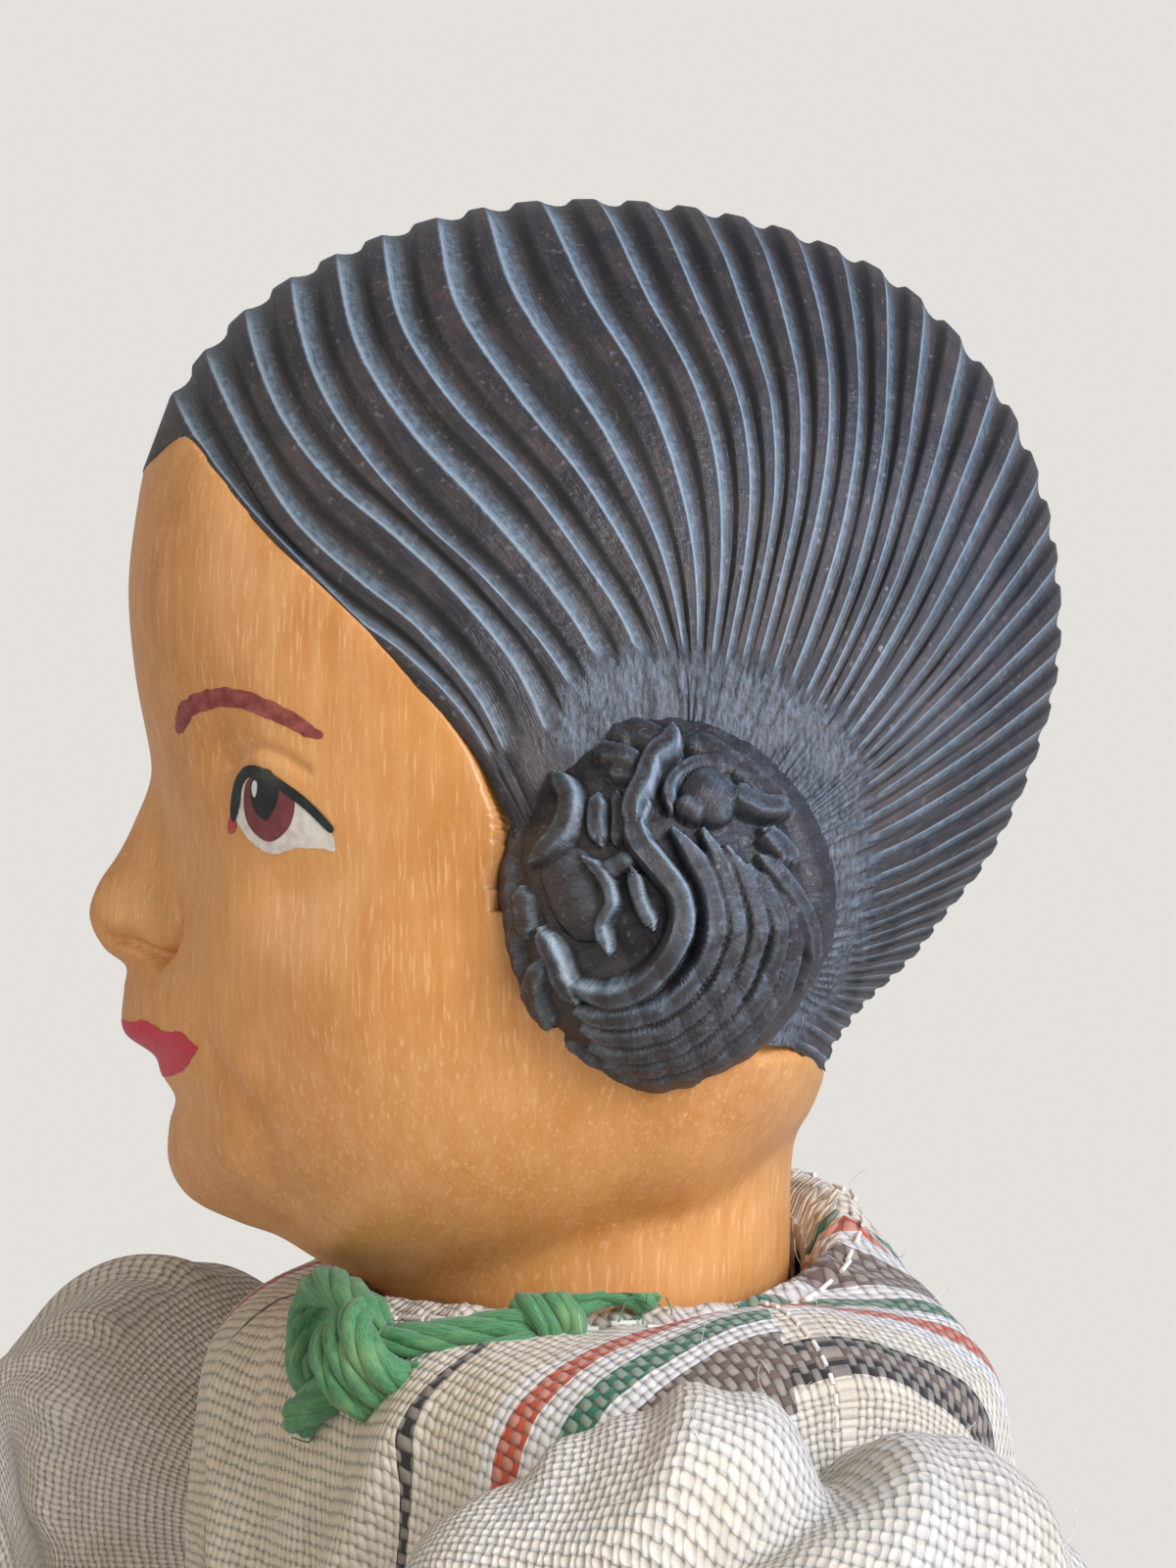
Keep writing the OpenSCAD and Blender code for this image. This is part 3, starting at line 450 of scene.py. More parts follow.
def grid_piece(name, points, finish, ring=False, uv=None, values=None, flip=False, merge=False):
    """A piece skinned over a grid of points; uv and values have one entry for each point."""
    rows, cols = points.shape[:2]
    index = np.arange(rows * cols).reshape(rows, cols)
    right = np.roll(index, -1, 1) if ring else index[:, 1:]
    left = index if ring else index[:, :-1]
    quads = np.stack([left[:-1], right[:-1], right[1:], left[1:]], -1).reshape(-1, 4)
    if flip:
        quads = quads[:, ::-1]
    piece = new_piece(name, place(points).reshape(-1, 3), quads.tolist(), finish, uv)
    for label, value in (values or {}).items():
        layer = piece.data.attributes.new(label, "FLOAT", "POINT")
        layer.data.foreach_set("value", value.ravel().astype(np.float32))
    if merge:
        work = bmesh.new()
        work.from_mesh(piece.data)
        bmesh.ops.remove_doubles(work, verts=work.verts, dist=1e-6)
        bmesh.ops.recalc_face_normals(work, faces=work.faces)
        work.to_mesh(piece.data)
        work.free()
    return piece


face_wood = wood("carved_limewood", "#efc08a", "#d79856", "#c4823f", 0.4, coat=0.12)[0]

angles = np.concatenate([np.arange(-150, -48, 1.5), np.arange(-48, 47, 0.46), np.arange(47, 210, 4)])
lats = np.concatenate([np.arange(0.45, 60, 0.5), np.arange(60.2, 72, 0.66), np.linspace(73, 90, 7)])
lats = np.concatenate([-np.flip(lats), [0], lats])
angle, lat = np.meshgrid(angles, lats, indexing="ij")
distance = face_distance(angle, lat)
share = share_to_bun(angle, lat, distance)
wrapped = np.where(angle < -90, angle + 360, angle)
# the wood lies well below the hair, and a fine step marks the hairline
under = ease((wrapped - hairline(share)) / 1.5) * ease((nape(share) - wrapped) / 2)
step = ease((wrapped - hairline(share) + 2) / 2) * ease((nape(share) - wrapped + 2) / 2)
distance = distance - 0.06 * step - 0.9 * under
points = turned(on_head(angle, lat, distance))
points = np.concatenate([points, points[:1]], 0)
head = grid_piece("head_wood", points, face_wood, merge=True)
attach(head, "head")
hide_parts("head")

# The lowest that the head comes over each spot as it turns, for what lies round the neck
way_bins, out_bins = 72, 80
chin_top = 275


def neck_bins(points):
    """By direction in steps of 5 degrees and by distance from the axis in steps of half a millimetre."""
    way = np.degrees(np.arctan2(points[..., 1], points[..., 0])) / (360 / way_bins)
    out = np.hypot(points[..., 0], points[..., 1]) * 2
    return way.astype(int) % way_bins, np.minimum(out.astype(int), out_bins - 1)


spots = points.reshape(-1, 3)
spots = spots[spots[:, 2] < chin_top]
underside = np.full((way_bins, out_bins), 1e3)
np.minimum.at(underside, neck_bins(spots), spots[:, 2])
underside = np.minimum(underside, np.minimum(np.roll(underside, 1, 1), np.roll(underside, -1, 1)))
swept = np.min([np.roll(underside, k, 0) for k in range(-7, 20)], 0)


def below_head(points, gap):
    """The points, no higher than this gap below the turning head."""
    low = points.copy()
    low[..., 2] = np.minimum(points[..., 2], swept[neck_bins(points)] - gap)
    return low


# Hair. Cut into the same block: combed V grooves that fan from the middle of the head and run together
# above the buns, painted black, the flats satin and rubbed brown. The sides of the cuts carry a pale bluish
# painted light where they face the light and painted shade on the other side.
# How far a groove has turned at shares of its way to the bun, in degrees, by its angle at the middle
comb_places = (0, .2, .365, .51, .655, .8, .91, 1)
comb_rows = [
    (51, (0, -2.6, -4.3, -3.6, -1.9, -2.6, -8, -16)),
    (56, (0, -3, -3, -.6, 2, 3.9, 2.3, -2)),
    (61, (0, -2.8, -3.1, -1.6, 2.3, 6.8, 9.5, 10)),
    (65, (0, -2, -.8, 2.8, 7, 11.8, 14.6, 16.5)),
    (69, (0, -1.6, .3, 4.5, 9.5, 16, 18.6, 19.5)),
    (73, (0, -.7, 2.2, 6.7, 12.1, 17.2, 21, 22.5)),
    (80, (0, 2.5, 7, 10.8, 14, 16, 17, 17.5)),
    (88, (0, 4, 9, 12.2, 13.7, 14.2, 14.4, 14.5)),
    (100, (0, 4.7, 8, 10, 11.3, 12.7, 13.7, 14.3)),
    (109, (0, 3.4, 6.6, 9.2, 11.3, 13, 14, 14.6)),
    (120, (0, 2, 4.2, 6.4, 8.4, 10.2, 11.3, 12)),
    (130, (0, 1.6, 3.4, 5.2, 6.9, 8.5, 9.5, 10)),
    (143, (0, .8, 1.7, 2.6, 3.5, 4.3, 4.8, 5)),
    (153, (0, .8, 1.7, 2.6, 3.5, 4.3, 4.8, 5)),
    (163, (0, 1.3, 3, 4.8, 6.4, 8, 9.2, 9.5)),
    (176, (0, 1.6, 3.8, 6.2, 8.6, 10.6, 12, 12.3)),
    (190, (0, 1.4, 3.2, 5.2, 7, 8.8, 10, 10.2)),
    (203, (0, .7, 1.5, 2.4, 3.3, 4.2, 4.7, 4.8)),
    (215, (0, 0, 0, 0, 0, 0, 0, 0)),
    (226, (0, 0, 0, 1, 2, 4, 7, 12)),
]
rng = np.random.default_rng(7)
starts = [47.6]
while starts[-1] < 221:
    pitch = np.interp(starts[-1], [50, 125, 165, 200], [4.15, 4.2, 4.0, 4.6])
    starts.append(starts[-1] + pitch * rng.uniform(0.9, 1.1))
comb = [curve([(r[0], r[1][k]) for r in comb_rows]) for k in range(len(comb_places))]
# Across one groove, from one flat's middle to the next: place, depth of the cut and the painted light on its
# side, from a pale painted highlight where it is above zero to painted shade below
cut_places = (-0.42, -0.33, -0.28, -0.18, -0.04, 0.08, 0.17, 0.25, 0.31, 0.38)
cut_depths = (0.0, 0.0, 0.14, 0.55, 0.92, 1.0, 0.85, 0.36, 0.04, 0.0)
cut_wall_light = (0.0, 0.1, 1.4, 0.9, 0.5, 0.0, -0.6, -0.85, -0.5, 0.0)
column_starts, column_cut, column_pitch, column_light = [], [], [], []
for k, start in enumerate(starts):
    half = (starts[min(k + 1, len(starts) - 1)] - starts[max(k - 1, 0)]) / 2
    half = half if 0 < k < len(starts) - 1 else 4.2
    for place_in, depth, wall_light in zip(cut_places, cut_depths, cut_wall_light):
        column_starts.append(start + place_in * half)
        column_cut.append(depth)
        column_light.append(wall_light)
        column_pitch.append(half)
column_starts, column_cut = np.array(column_starts), np.array(column_cut)
column_pitch = np.array(column_pitch)
shares = np.concatenate([[0, 0.004, 0.01], np.linspace(0.02, 1, 84)])


def hair_angles(start, s):
    """Angle of the combed line that starts at this angle, at a share of its way to the bun."""
    bends = np.stack([c(start) for c in comb], -1)
    rows = np.array(comb_places)
    i = np.clip(np.searchsorted(rows, s, side="right") - 1, 0, len(rows) - 2)
    before, after = np.maximum(i - 1, 0), np.minimum(i + 2, len(rows) - 1)

    def bend(k):
        return np.take_along_axis(bends, k[..., None], -1)[..., 0]

    w = rows[i + 1] - rows[i]
    u = (s - rows[i]) / w
    m0 = (bend(i + 1) - bend(before)) / (rows[i + 1] - rows[before])
    m1 = (bend(after) - bend(i)) / (rows[after] - rows[i])
    bent = bend(i) * (1 + 2 * u) * (1 - u) ** 2 + bend(i + 1) * u * u * (3 - 2 * u)
    return start + bent + m0 * w * u * (1 - u) ** 2 - m1 * w * u * u * (1 - u)


def join_halves(right, left):
    """One grid of the two sides' rows, which share the middle one."""
    return np.concatenate([np.flip(right, 0), left[1:]], 0)


start_grid, share_grid = np.meshgrid(column_starts, shares)
hair_angle = hair_angles(start_grid, share_grid)
edge = hairline(share_grid)
# the first lines follow the hairline, the last ones the nape
hair_angle = np.maximum(hair_angle, edge + (start_grid - column_starts[0]) * 0.35 + 0.4)
columns = np.concatenate([[edge[:, 0] - 0.1], [edge[:, 0]], hair_angle.T, [nape(shares)], [nape(shares) + 0.1]]).T
cut = np.concatenate([[0, 0], column_cut, [0, 0]])
pitch = np.concatenate([[4, 4], column_pitch, [4, 4]])
light_side = np.concatenate([[0, 0], column_light, [0, 0]])
share_grid = np.broadcast_to(shares[:, None], columns.shape)
most = head_size * outline(np.where(columns > 210, columns - 360, columns))
radius = most + (hair_inner - 0.9 - most) * share_grid
lat = np.where(share_grid <= 0, 0, latitude(columns, radius))
distance = head_distance(columns, lat)
# a groove is as deep as it is wide, and runs out short of the bun where the knife scraped round it
gap = np.radians(pitch) * radius
groove_end = np.interp(columns, [40, 57, 72, 109, 134, 146, 159, 226],
                       [10.4, 9.8, 11.6, 11.7, 11.6, 10.8, 9.4, 8.6])
groove_end = groove_end + 0.35 * np.sin(columns * 2.3) + 0.25 * np.sin(columns * 5.1)
fading = ease((radius - groove_end) / 1.1)
middle = 0.55 + 0.45 * ease(share_grid / 0.04)
depth = np.minimum(0.62, gap * 0.27) * cut * fading * middle
flat_wave = -0.17 * np.abs(np.sin(share_grid * 9.5 + columns * 0.06 + 0.5 * np.sin(columns * 0.31))) * ease(
    (share_grid - 0.03) / 0.08)
distance = distance - depth + flat_wave * (1 - cut)
distance[:, [0, -1]] -= 1.3  # the hair's edges are tucked into the wood
left = turned(on_head(columns, lat, distance))
right = turned(on_head(columns, -lat, distance))
points = join_halves(right, left)
# painted light and painted shade on the sides of the cuts, fading out with the grooves
walls = light_side * fading * middle
scraped = (1 - ease((radius - groove_end + 0.3) / 1.6)) * ease((columns - 50) / 12)
flow = np.stack([np.broadcast_to(np.arange(columns.shape[1]) * 0.4, columns.shape), radius], -1)
walls, scraped, flow = (join_halves(v, v) for v in (walls, scraped, flow))


def black_paint(name, brown):
    """Black paint on cut wood: satin and rubbed brown on the flats; on the sides of the cuts a pale bluish painted
    light with a painted highlight at the lit edge, and painted shade on the side turned away.
    """
    made, tree = material(name)
    at = add(tree, "TexCoord")
    wall_light = add(tree, "Attribute", attribute_name="wall_light").outputs["Fac"]
    scraped = add(tree, "Attribute", attribute_name="scraped").outputs["Fac"]
    lane = add(tree, "Mapping", {"Vector": at.outputs["UV"], "Scale": (9.0, 0.8, 1.0)}).outputs[0]
    brush = add(tree, "TexNoise", {"Vector": lane, "Scale": 1.0, "Detail": 5.0, "Roughness": 0.62})
    spots = add(tree, "TexNoise", {"Vector": at.outputs["Object"], "Scale": 330.0, "Detail": 6.0, "Roughness": 0.65})
    chips = add(tree, "TexNoise", {"Vector": at.outputs["Object"], "Scale": 2600.0, "Detail": 3.0})
    worn = add(tree, "MapRange", {"Value": spots.outputs[0], "From Min": 0.45, "From Max": 0.68, "To Max": brown})
    flat = add(tree, "Mix", {0: worn.outputs[0], 6: "#2c2a2d", 7: "#4f403b"}, data_type="RGBA")
    scratch = add(tree, "MapRange", {"Value": brush.outputs[0], "From Min": 0.52, "From Max": 0.72, "To Max": 0.45})
    flat = add(tree, "Mix", {0: scratch.outputs[0], 6: flat.outputs[2], 7: "#5f5c64"}, data_type="RGBA")
    flecks = add(tree, "MapRange", {"Value": chips.outputs[0], "From Min": 0.62, "From Max": 0.72, "To Max": 0.5})
    flat = add(tree, "Mix", {0: flecks.outputs[0], 6: flat.outputs[2], 7: "#7b7474"}, data_type="RGBA")
    fine = add(tree, "Mapping", {"Vector": at.outputs["Object"], "Rotation": (0.6, 0, 0), "Scale": (1.0, 1.0, 0.3)})
    scrape = add(tree, "TexNoise", {"Vector": fine.outputs[0], "Scale": 5200.0, "Detail": 4.0, "Roughness": 0.7})
    rubbed = add(tree, "MapRange", {"Value": scrape.outputs[0], "From Min": 0.36, "From Max": 0.66})
    rubbed = add(tree, "Math", {0: scraped, 1: rubbed.outputs[0]}, operation="MULTIPLY")
    flat = add(tree, "Mix", {0: rubbed.outputs[0], 6: flat.outputs[2], 7: "#6f7985"}, data_type="RGBA")
    mottled = add(tree, "Math", {0: chips.outputs[0], 1: brush.outputs[0]}, operation="ADD")
    mottled = add(tree, "MapRange", {"Value": mottled.outputs[0], "From Min": 0.8, "From Max": 1.2})
    # painted light: the side of each cut facing the light is painted a pale mottled blue-grey
    lit_wall_tone = add(tree, "Mix", {0: mottled.outputs[0], 6: "#4c5860", 7: "#74838f"}, data_type="RGBA")
    lit_wall_share = add(tree, "MapRange", {"Value": wall_light, "From Min": 0.1, "From Max": 0.85, "To Max": 0.9})
    deep = add(tree, "Mix", {0: lit_wall_share.outputs[0], 6: flat.outputs[2], 7: lit_wall_tone.outputs[2]}, data_type="RGBA")
    # painted highlight: a pale line along the lit edge of each cut
    edge = add(tree, "MapRange", {"Value": wall_light, "From Min": 0.95, "From Max": 1.4, "To Max": 0.7})
    deep = add(tree, "Mix", {0: edge.outputs[0], 6: deep.outputs[2], 7: "#a3b2bd"}, data_type="RGBA")
    # painted shade on the side of each cut turned away from the light
    shade = add(tree, "MapRange", {"Value": wall_light, "From Min": -0.05, "From Max": -0.7, "To Max": 0.9})
    deep = add(tree, "Mix", {0: shade.outputs[0], 6: deep.outputs[2], 7: "#14181a"}, data_type="RGBA")
    height = add(tree, "Mix", {0: scraped, 2: mottled.outputs[0], 3: scrape.outputs[0]}, data_type="FLOAT")
    rough = add(tree, "MapRange", {"Value": scraped, "To Min": 0.35, "To Max": 0.9})
    bump = add(tree, "Bump", {"Height": height.outputs[0], "Strength": rough.outputs[0], "Distance": 0.00012})
    gloss = add(tree, "MapRange", {"Value": spots.outputs[0], "From Min": 0.3, "From Max": 0.7, "To Min": 0.3,
                                   "To Max": 0.46})
    shader = add(tree, "BsdfPrincipled", {"Base Color": deep.outputs[2], "Roughness": gloss.outputs[0],
                                          "Normal": bump.outputs[0]})
    add(tree, "OutputMaterial", {"Surface": shader.outputs[0]})
    return made


hair_paint = black_paint("worn_and_lit_black_paint", 0.75)
hair = grid_piece("hair", points, hair_paint, uv=flow, values={"wall_light": walls, "scraped": scraped}, merge=True)
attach(hair, "head")

# Hair buns. Each is a ball left standing over the ear and carved as a coil: twisted strands at the top,
# a round knob, and a fan of strands that sweeps down and forward. Marks are 79 to the millimetre.
bun_mark = 79.0
bun_mark_middle = (680, 812)
strands = [
    ([(612, 470), (572, 540), (590, 610), (655, 690), (715, 770), (728, 860), (700, 950), (640, 1040), (560, 1100),
      (460, 1120), (360, 1090)], .6, .95),
    ([(700, 560), (765, 650), (812, 740), (835, 850), (822, 950), (780, 1040), (700, 1130), (590, 1180),
      (460, 1195), (370, 1180)], .55, .84),
    ([(800, 560), (848, 660), (885, 760), (905, 860), (895, 960), (855, 1070), (780, 1160), (660, 1240),
      (500, 1265), (390, 1250)], .5, .76),
    ([(880, 620), (930, 700), (965, 790), (980, 890), (960, 1000), (915, 1100), (840, 1195), (710, 1290),
      (540, 1330), (420, 1320)], .48, .7),
    ([(960, 680), (1010, 750), (1045, 840), (1055, 940), (1030, 1050), (980, 1150), (900, 1240), (770, 1340),
      (600, 1385), (470, 1380)], .48, .62),
    ([(1060, 740), (1105, 830), (1120, 940), (1100, 1060), (1050, 1160), (960, 1270), (820, 1390), (650, 1450),
      (500, 1440)], .5, .52),
    ([(1000, 650), (1080, 730), (1140, 820), (1180, 920), (1185, 1010)], .5, .66),
    ([(1010, 560), (1110, 670)], .55, .8),
    ([(470, 200), (640, 160), (780, 185), (920, 240), (1040, 320), (1130, 420), (1190, 560), (1230, 700),
      (1240, 850), (1215, 1000), (1170, 1120)], .72, .46),
    ([(720, 240), (830, 280), (930, 350), (1030, 430), (1100, 500)], .55, .66),
    ([(700, 215), (690, 275), (630, 330), (600, 410), (565, 480), (560, 590)], .52, 1.05),
    ([(490, 240), (560, 215), (640, 235), (690, 280)], .6, .6),
    ([(440, 290), (520, 300), (590, 330)], .55, .62),
    ([(480, 355), (580, 365)], .42, .5),
    ([(812, 432), (835, 452)], 1.05, 1.05),
    ([(748, 478), (775, 495)], .5, .95),
    ([(690, 490), (690, 410), (745, 350), (830, 330), (890, 365)], .34, .72),
    ([(890, 430), (990, 480), (1095, 490)], .56, .92),
    ([(440, 430), (430, 520), (445, 600)], .44, .42),
    ([(505, 420), (512, 520), (500, 600)], .36, .36),
    ([(285, 360), (340, 430), (335, 520), (290, 600), (215, 670)], .55, .66),
    ([(330, 700), (360, 790), (400, 850)], 1.1, .45),
    ([(390, 650), (460, 710), (490, 800), (455, 880), (480, 980)], .34, .72),
    ([(480, 690), (530, 665)], .45, .6),
    ([(560, 690), (585, 800), (630, 890)], .38, .7),
    ([(245, 900), (295, 990), (320, 1060), (370, 1150)], .46, .78),
    ([(250, 1010), (212, 1100), (225, 1200), (270, 1275)], .5, .56),
    ([(160, 420), (110, 560), (95, 700), (105, 850), (120, 1000), (150, 1120), (210, 1230)], .62, .36),
    ([(170, 760), (180, 850), (190, 930)], .5, .4),
    ([(260, 1290), (380, 1400), (520, 1470), (640, 1490), (800, 1450)], .6, .34),
]
swells = [([(670, 925), (820, 900), (1060, 890)], 1.5, .26), ([(560, 640), (680, 610), (860, 590)], 1.1, .16)]
bun_turns = np.linspace(0, 360, 421)[:-1]
bun_tilts = np.concatenate([np.linspace(0.01, 96, 124), [102, 110, 118]])
tilt, around = np.meshgrid(bun_tilts, bun_turns, indexing="ij")
ball = bun_r - 0.4
bun_long, bun_tall = 0.965, 1.075
out_long = bun_long * np.sin(np.radians(tilt)) * np.cos(np.radians(around))
out_tall = bun_tall * np.sin(np.radians(tilt)) * np.sin(np.radians(around))
spots_flat = ball * np.stack([out_long, out_tall], -1).reshape(-1, 2)


def marks_on_bun(marks):
    middle_x, middle_y = bun_mark_middle
    return smooth_line([((x - middle_x) / bun_mark, (middle_y - y) / bun_mark) for x, y in marks], 9)


relief = np.zeros(len(spots_flat))
for marks, half, high in strands:
    line = marks_on_bun(marks)
    away, where = distance_to(spots_flat, line)
    if np.linalg.norm(line[0] - line[-1]) > 2.2 * half:
        ends = np.minimum(1, 0.35 + 5 * np.minimum(where, 1 - where))
        top = np.clip((1 - away / (1.12 * half * ends)) / 0.45, 0, 1) ** 0.8
    else:
        ends = 1.0
        top = np.sqrt(np.clip(1 - (away / (1.12 * half)) ** 2, 0, 1))
    relief = np.maximum(relief, high * (0.5 + 0.5 * ends) * top)
for marks, half, high in swells:
    away, where = distance_to(spots_flat, marks_on_bun(marks))
    relief = relief + high * np.maximum(0, 1 - away / half) * (relief > 0.2)
# chisel facets break up the strands' tops
x, y = spots_flat[:, 0], spots_flat[:, 1]
relief = relief + 0.07 * np.abs(np.sin(2.1 * x + 0.9 * y)) + 0.06 * np.abs(np.sin(2.7 * y - 1.3 * x + 0.8))
relief = relief.reshape(tilt.shape)
# paint: painted light, brighter where a strand faces the light, a painted highlight where it stands above its
# neighbours, and painted shade in the cuts
slope_out = np.gradient(relief, axis=0) / (np.gradient(np.radians(tilt), axis=0) * ball)
slope_round = (np.roll(relief, -1, 1) - np.roll(relief, 1, 1)) / (
    2 * math.radians(360 / len(bun_turns)) * ball * np.maximum(np.sin(np.radians(tilt)), 0.03))
light_turn = np.radians(around) - 0.7
facing = -(slope_out * np.cos(light_turn) - slope_round * np.sin(light_turn))
padded = np.pad(relief, ((4, 4), (0, 0)), "edge")
around_it = sum(np.roll(relief, k, 1) + padded[4 + k:4 + k + len(relief)] for k in (-4, -2, 2, 4))
edge_share = (relief - around_it / 8) / 0.13
hollow = bell((ball * out_long + 2.2) / 1.9) * bell((ball * out_tall + 2.3) / 0.9)
fade = 1 - ease((tilt - 78) / 16)
bun_distance = ball + (relief - 0.4 * hollow * (relief < 0.45)) * fade
left = np.stack([bun_in + np.cos(np.radians(tilt)) * bun_distance, bun_y - 0.15 + out_long * bun_distance,
                 bun_z + 0.5 + out_tall * bun_distance], -1)
right = left * np.array([-1, 1, 1])
strand_light = (0.12 + np.clip(0.55 * facing, -0.7, 0.95) + np.clip(0.45 * edge_share, -0.5, 0.55)
         - 0.4 * np.clip(1 - relief / 0.3, 0, 1)) * fade
bun_paint = black_paint("worn_and_lit_black_paint_on_buns", 0.35)
flow = np.stack([around * 0.1, tilt * 0.3], -1)
for name, points in (("hair_bun_left", left), ("hair_bun_right", right)):
    bun = grid_piece(name, turned(points), bun_paint, ring=True, uv=flow, values={"wall_light": strand_light}, merge=True)
    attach(bun, "head")

# Painted features. Thin coats of oil paint laid on the varnish with a small brush: brows, eyes in five
# coats and lips, the same on both sides of the face.


def coat(name, marks, finish, lift, across=False, ragged=0.0):
    """A coat of paint inside the marks, on both sides of the face or across its middle."""
    line = smooth_line(marks, 6, closed=True)
    angle, lat = on_side(line)
    shake = np.random.default_rng(len(name)).uniform(-1, 1, (len(line), 2)) * ragged
    edge = np.stack([angle, lat], -1) + shake
    sides = [1, -1]
    if across:
        keep = edge[edge[:, 1] > 0.6]
        first = np.argmax(np.linalg.norm(np.diff(keep, axis=0, append=keep[:1]), axis=1))
        keep = np.roll(keep, -(first + 1), 0)
        edge, sides = np.concatenate([keep, keep[::-1] * np.array([1, -1])]), [1]
    low, high = edge.min(0), edge.max(0)
    inner = np.stack(np.meshgrid(np.arange(low[0], high[0], 0.4), np.arange(low[1], high[1], 0.4)), -1)
    count = len(edge)
    rim = [(i, (i + 1) % count) for i in range(count)]
    spots = [Vector(p) for p in np.concatenate([edge, inner.reshape(-1, 2)])]
    made = delaunay_2d_cdt(spots, rim, [list(range(count))], 1, 1e-5)
    flat = np.array([tuple(v) for v in made[0]])
    distance = face_distance(flat[:, 0], flat[:, 1]) + lift
    corners, faces = [], []
    for side in sides:
        start = len(corners)
        corners.extend(place(turned(on_head(flat[:, 0], flat[:, 1] * side, distance))).tolist())
        faces.extend([[i + start for i in (f if side < 0 else f[::-1])] for f in made[2]])
    piece = new_piece(name, corners, faces, finish)
    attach(piece, "head")


def oil_paint(name, colour, second, gloss=0.35):
    """Oil paint: one colour with the drag of the brush in it and the fibres of the wood below."""
    made, tree = material(name)
    at = add(tree, "TexCoord").outputs["Object"]
    drag = add(tree, "TexNoise", {"Vector": at, "Scale": 1800.0, "Detail": 4.0})
    blot = add(tree, "MapRange", {"Value": drag.outputs[0], "From Min": 0.4, "From Max": 0.68})
    tone = add(tree, "Mix", {0: blot.outputs[0], 6: colour, 7: second}, data_type="RGBA")
    bump = add(tree, "Bump", {"Height": drag.outputs[0], "Strength": 0.3, "Distance": 0.00003})
    shader = add(tree, "BsdfPrincipled", {"Base Color": tone.outputs[2], "Roughness": gloss,
                                          "Normal": bump.outputs[0]})
    add(tree, "OutputMaterial", {"Surface": shader.outputs[0]})
    return made


coat("brows", [(180, 747), (180, 730), (188, 715), (211, 704), (237, 702), (262, 709), (290, 722), (316, 738),
               (331, 751), (318, 754), (296, 744), (268, 731), (241, 722), (216, 722), (196, 731), (187, 747)],
     oil_paint("brow_red_brown", "#7d2f2c", "#a2524a"), 0.03, ragged=0.12)
coat("eye_whites", [(240, 832), (243, 806), (262, 790), (290, 800), (318, 822), (336, 846), (341, 868), (328, 866),
                    (300, 865), (275, 871), (258, 861), (246, 846)],
     oil_paint("eye_white", "#dcd6cb", "#c3bbb0"), 0.03, ragged=0.1)
coat("irises", [(251, 812), (256, 796), (275, 790), (294, 800), (304, 815), (302, 834), (293, 849), (276, 859),
                (262, 852), (253, 836)], oil_paint("iris_brown", "#6a3035", "#7d3a3a"), 0.045)
coat("pupils", [(260, 800), (266, 788), (279, 787), (289, 803), (288, 820), (281, 832), (274, 838), (265, 830),
                (260, 816)], oil_paint("pupil_black", "#15191c", "#22282c", 0.25), 0.06)
coat("eye_lights", [(261, 806), (263, 798), (267, 800), (267, 810), (264, 815)],
     oil_paint("eye_light_white", "#dfe3e6", "#c9cdd0"), 0.075)
coat("lashes", [(236, 832), (237, 810), (240, 793), (250, 783), (262, 782), (275, 787), (297, 801), (318, 818),
                (339, 842), (340, 849), (334, 848), (314, 827), (292, 809), (272, 796), (256, 795), (249, 804),
                (247, 820), (243, 834), (239, 839)], oil_paint("lash_black", "#161c1c", "#23302f", 0.3), 0.08)
coat("eye_corners", [(233, 838), (238, 832), (242, 838), (239, 849), (233, 850)],
     oil_paint("corner_red", "#b0403f", "#c4605a"), 0.06)
coat("lips", [(110, 1050), (120, 1040), (134, 1043), (147, 1041), (158, 1047), (168, 1053), (184, 1053),
              (192, 1063), (198, 1072), (192, 1086), (184, 1094), (169, 1099), (150, 1096), (120, 1070)],
     oil_paint("lip_rose", "#c4293f", "#cc3b50", 0.4), 0.035, across=True, ragged=0.1)

# Blouse. Coarse plain-weave cotton, cream and white, with woven stripes of orange, green and brown that
# run over the shoulders. It is cut as one tube, gathered in at the neck and turned under there.
thread = 0.5  # pitch of the weave in millimetres; the threads that run across lie a little closer
stripe_span = 40.0
undyed = [0, 0, 0, 0]


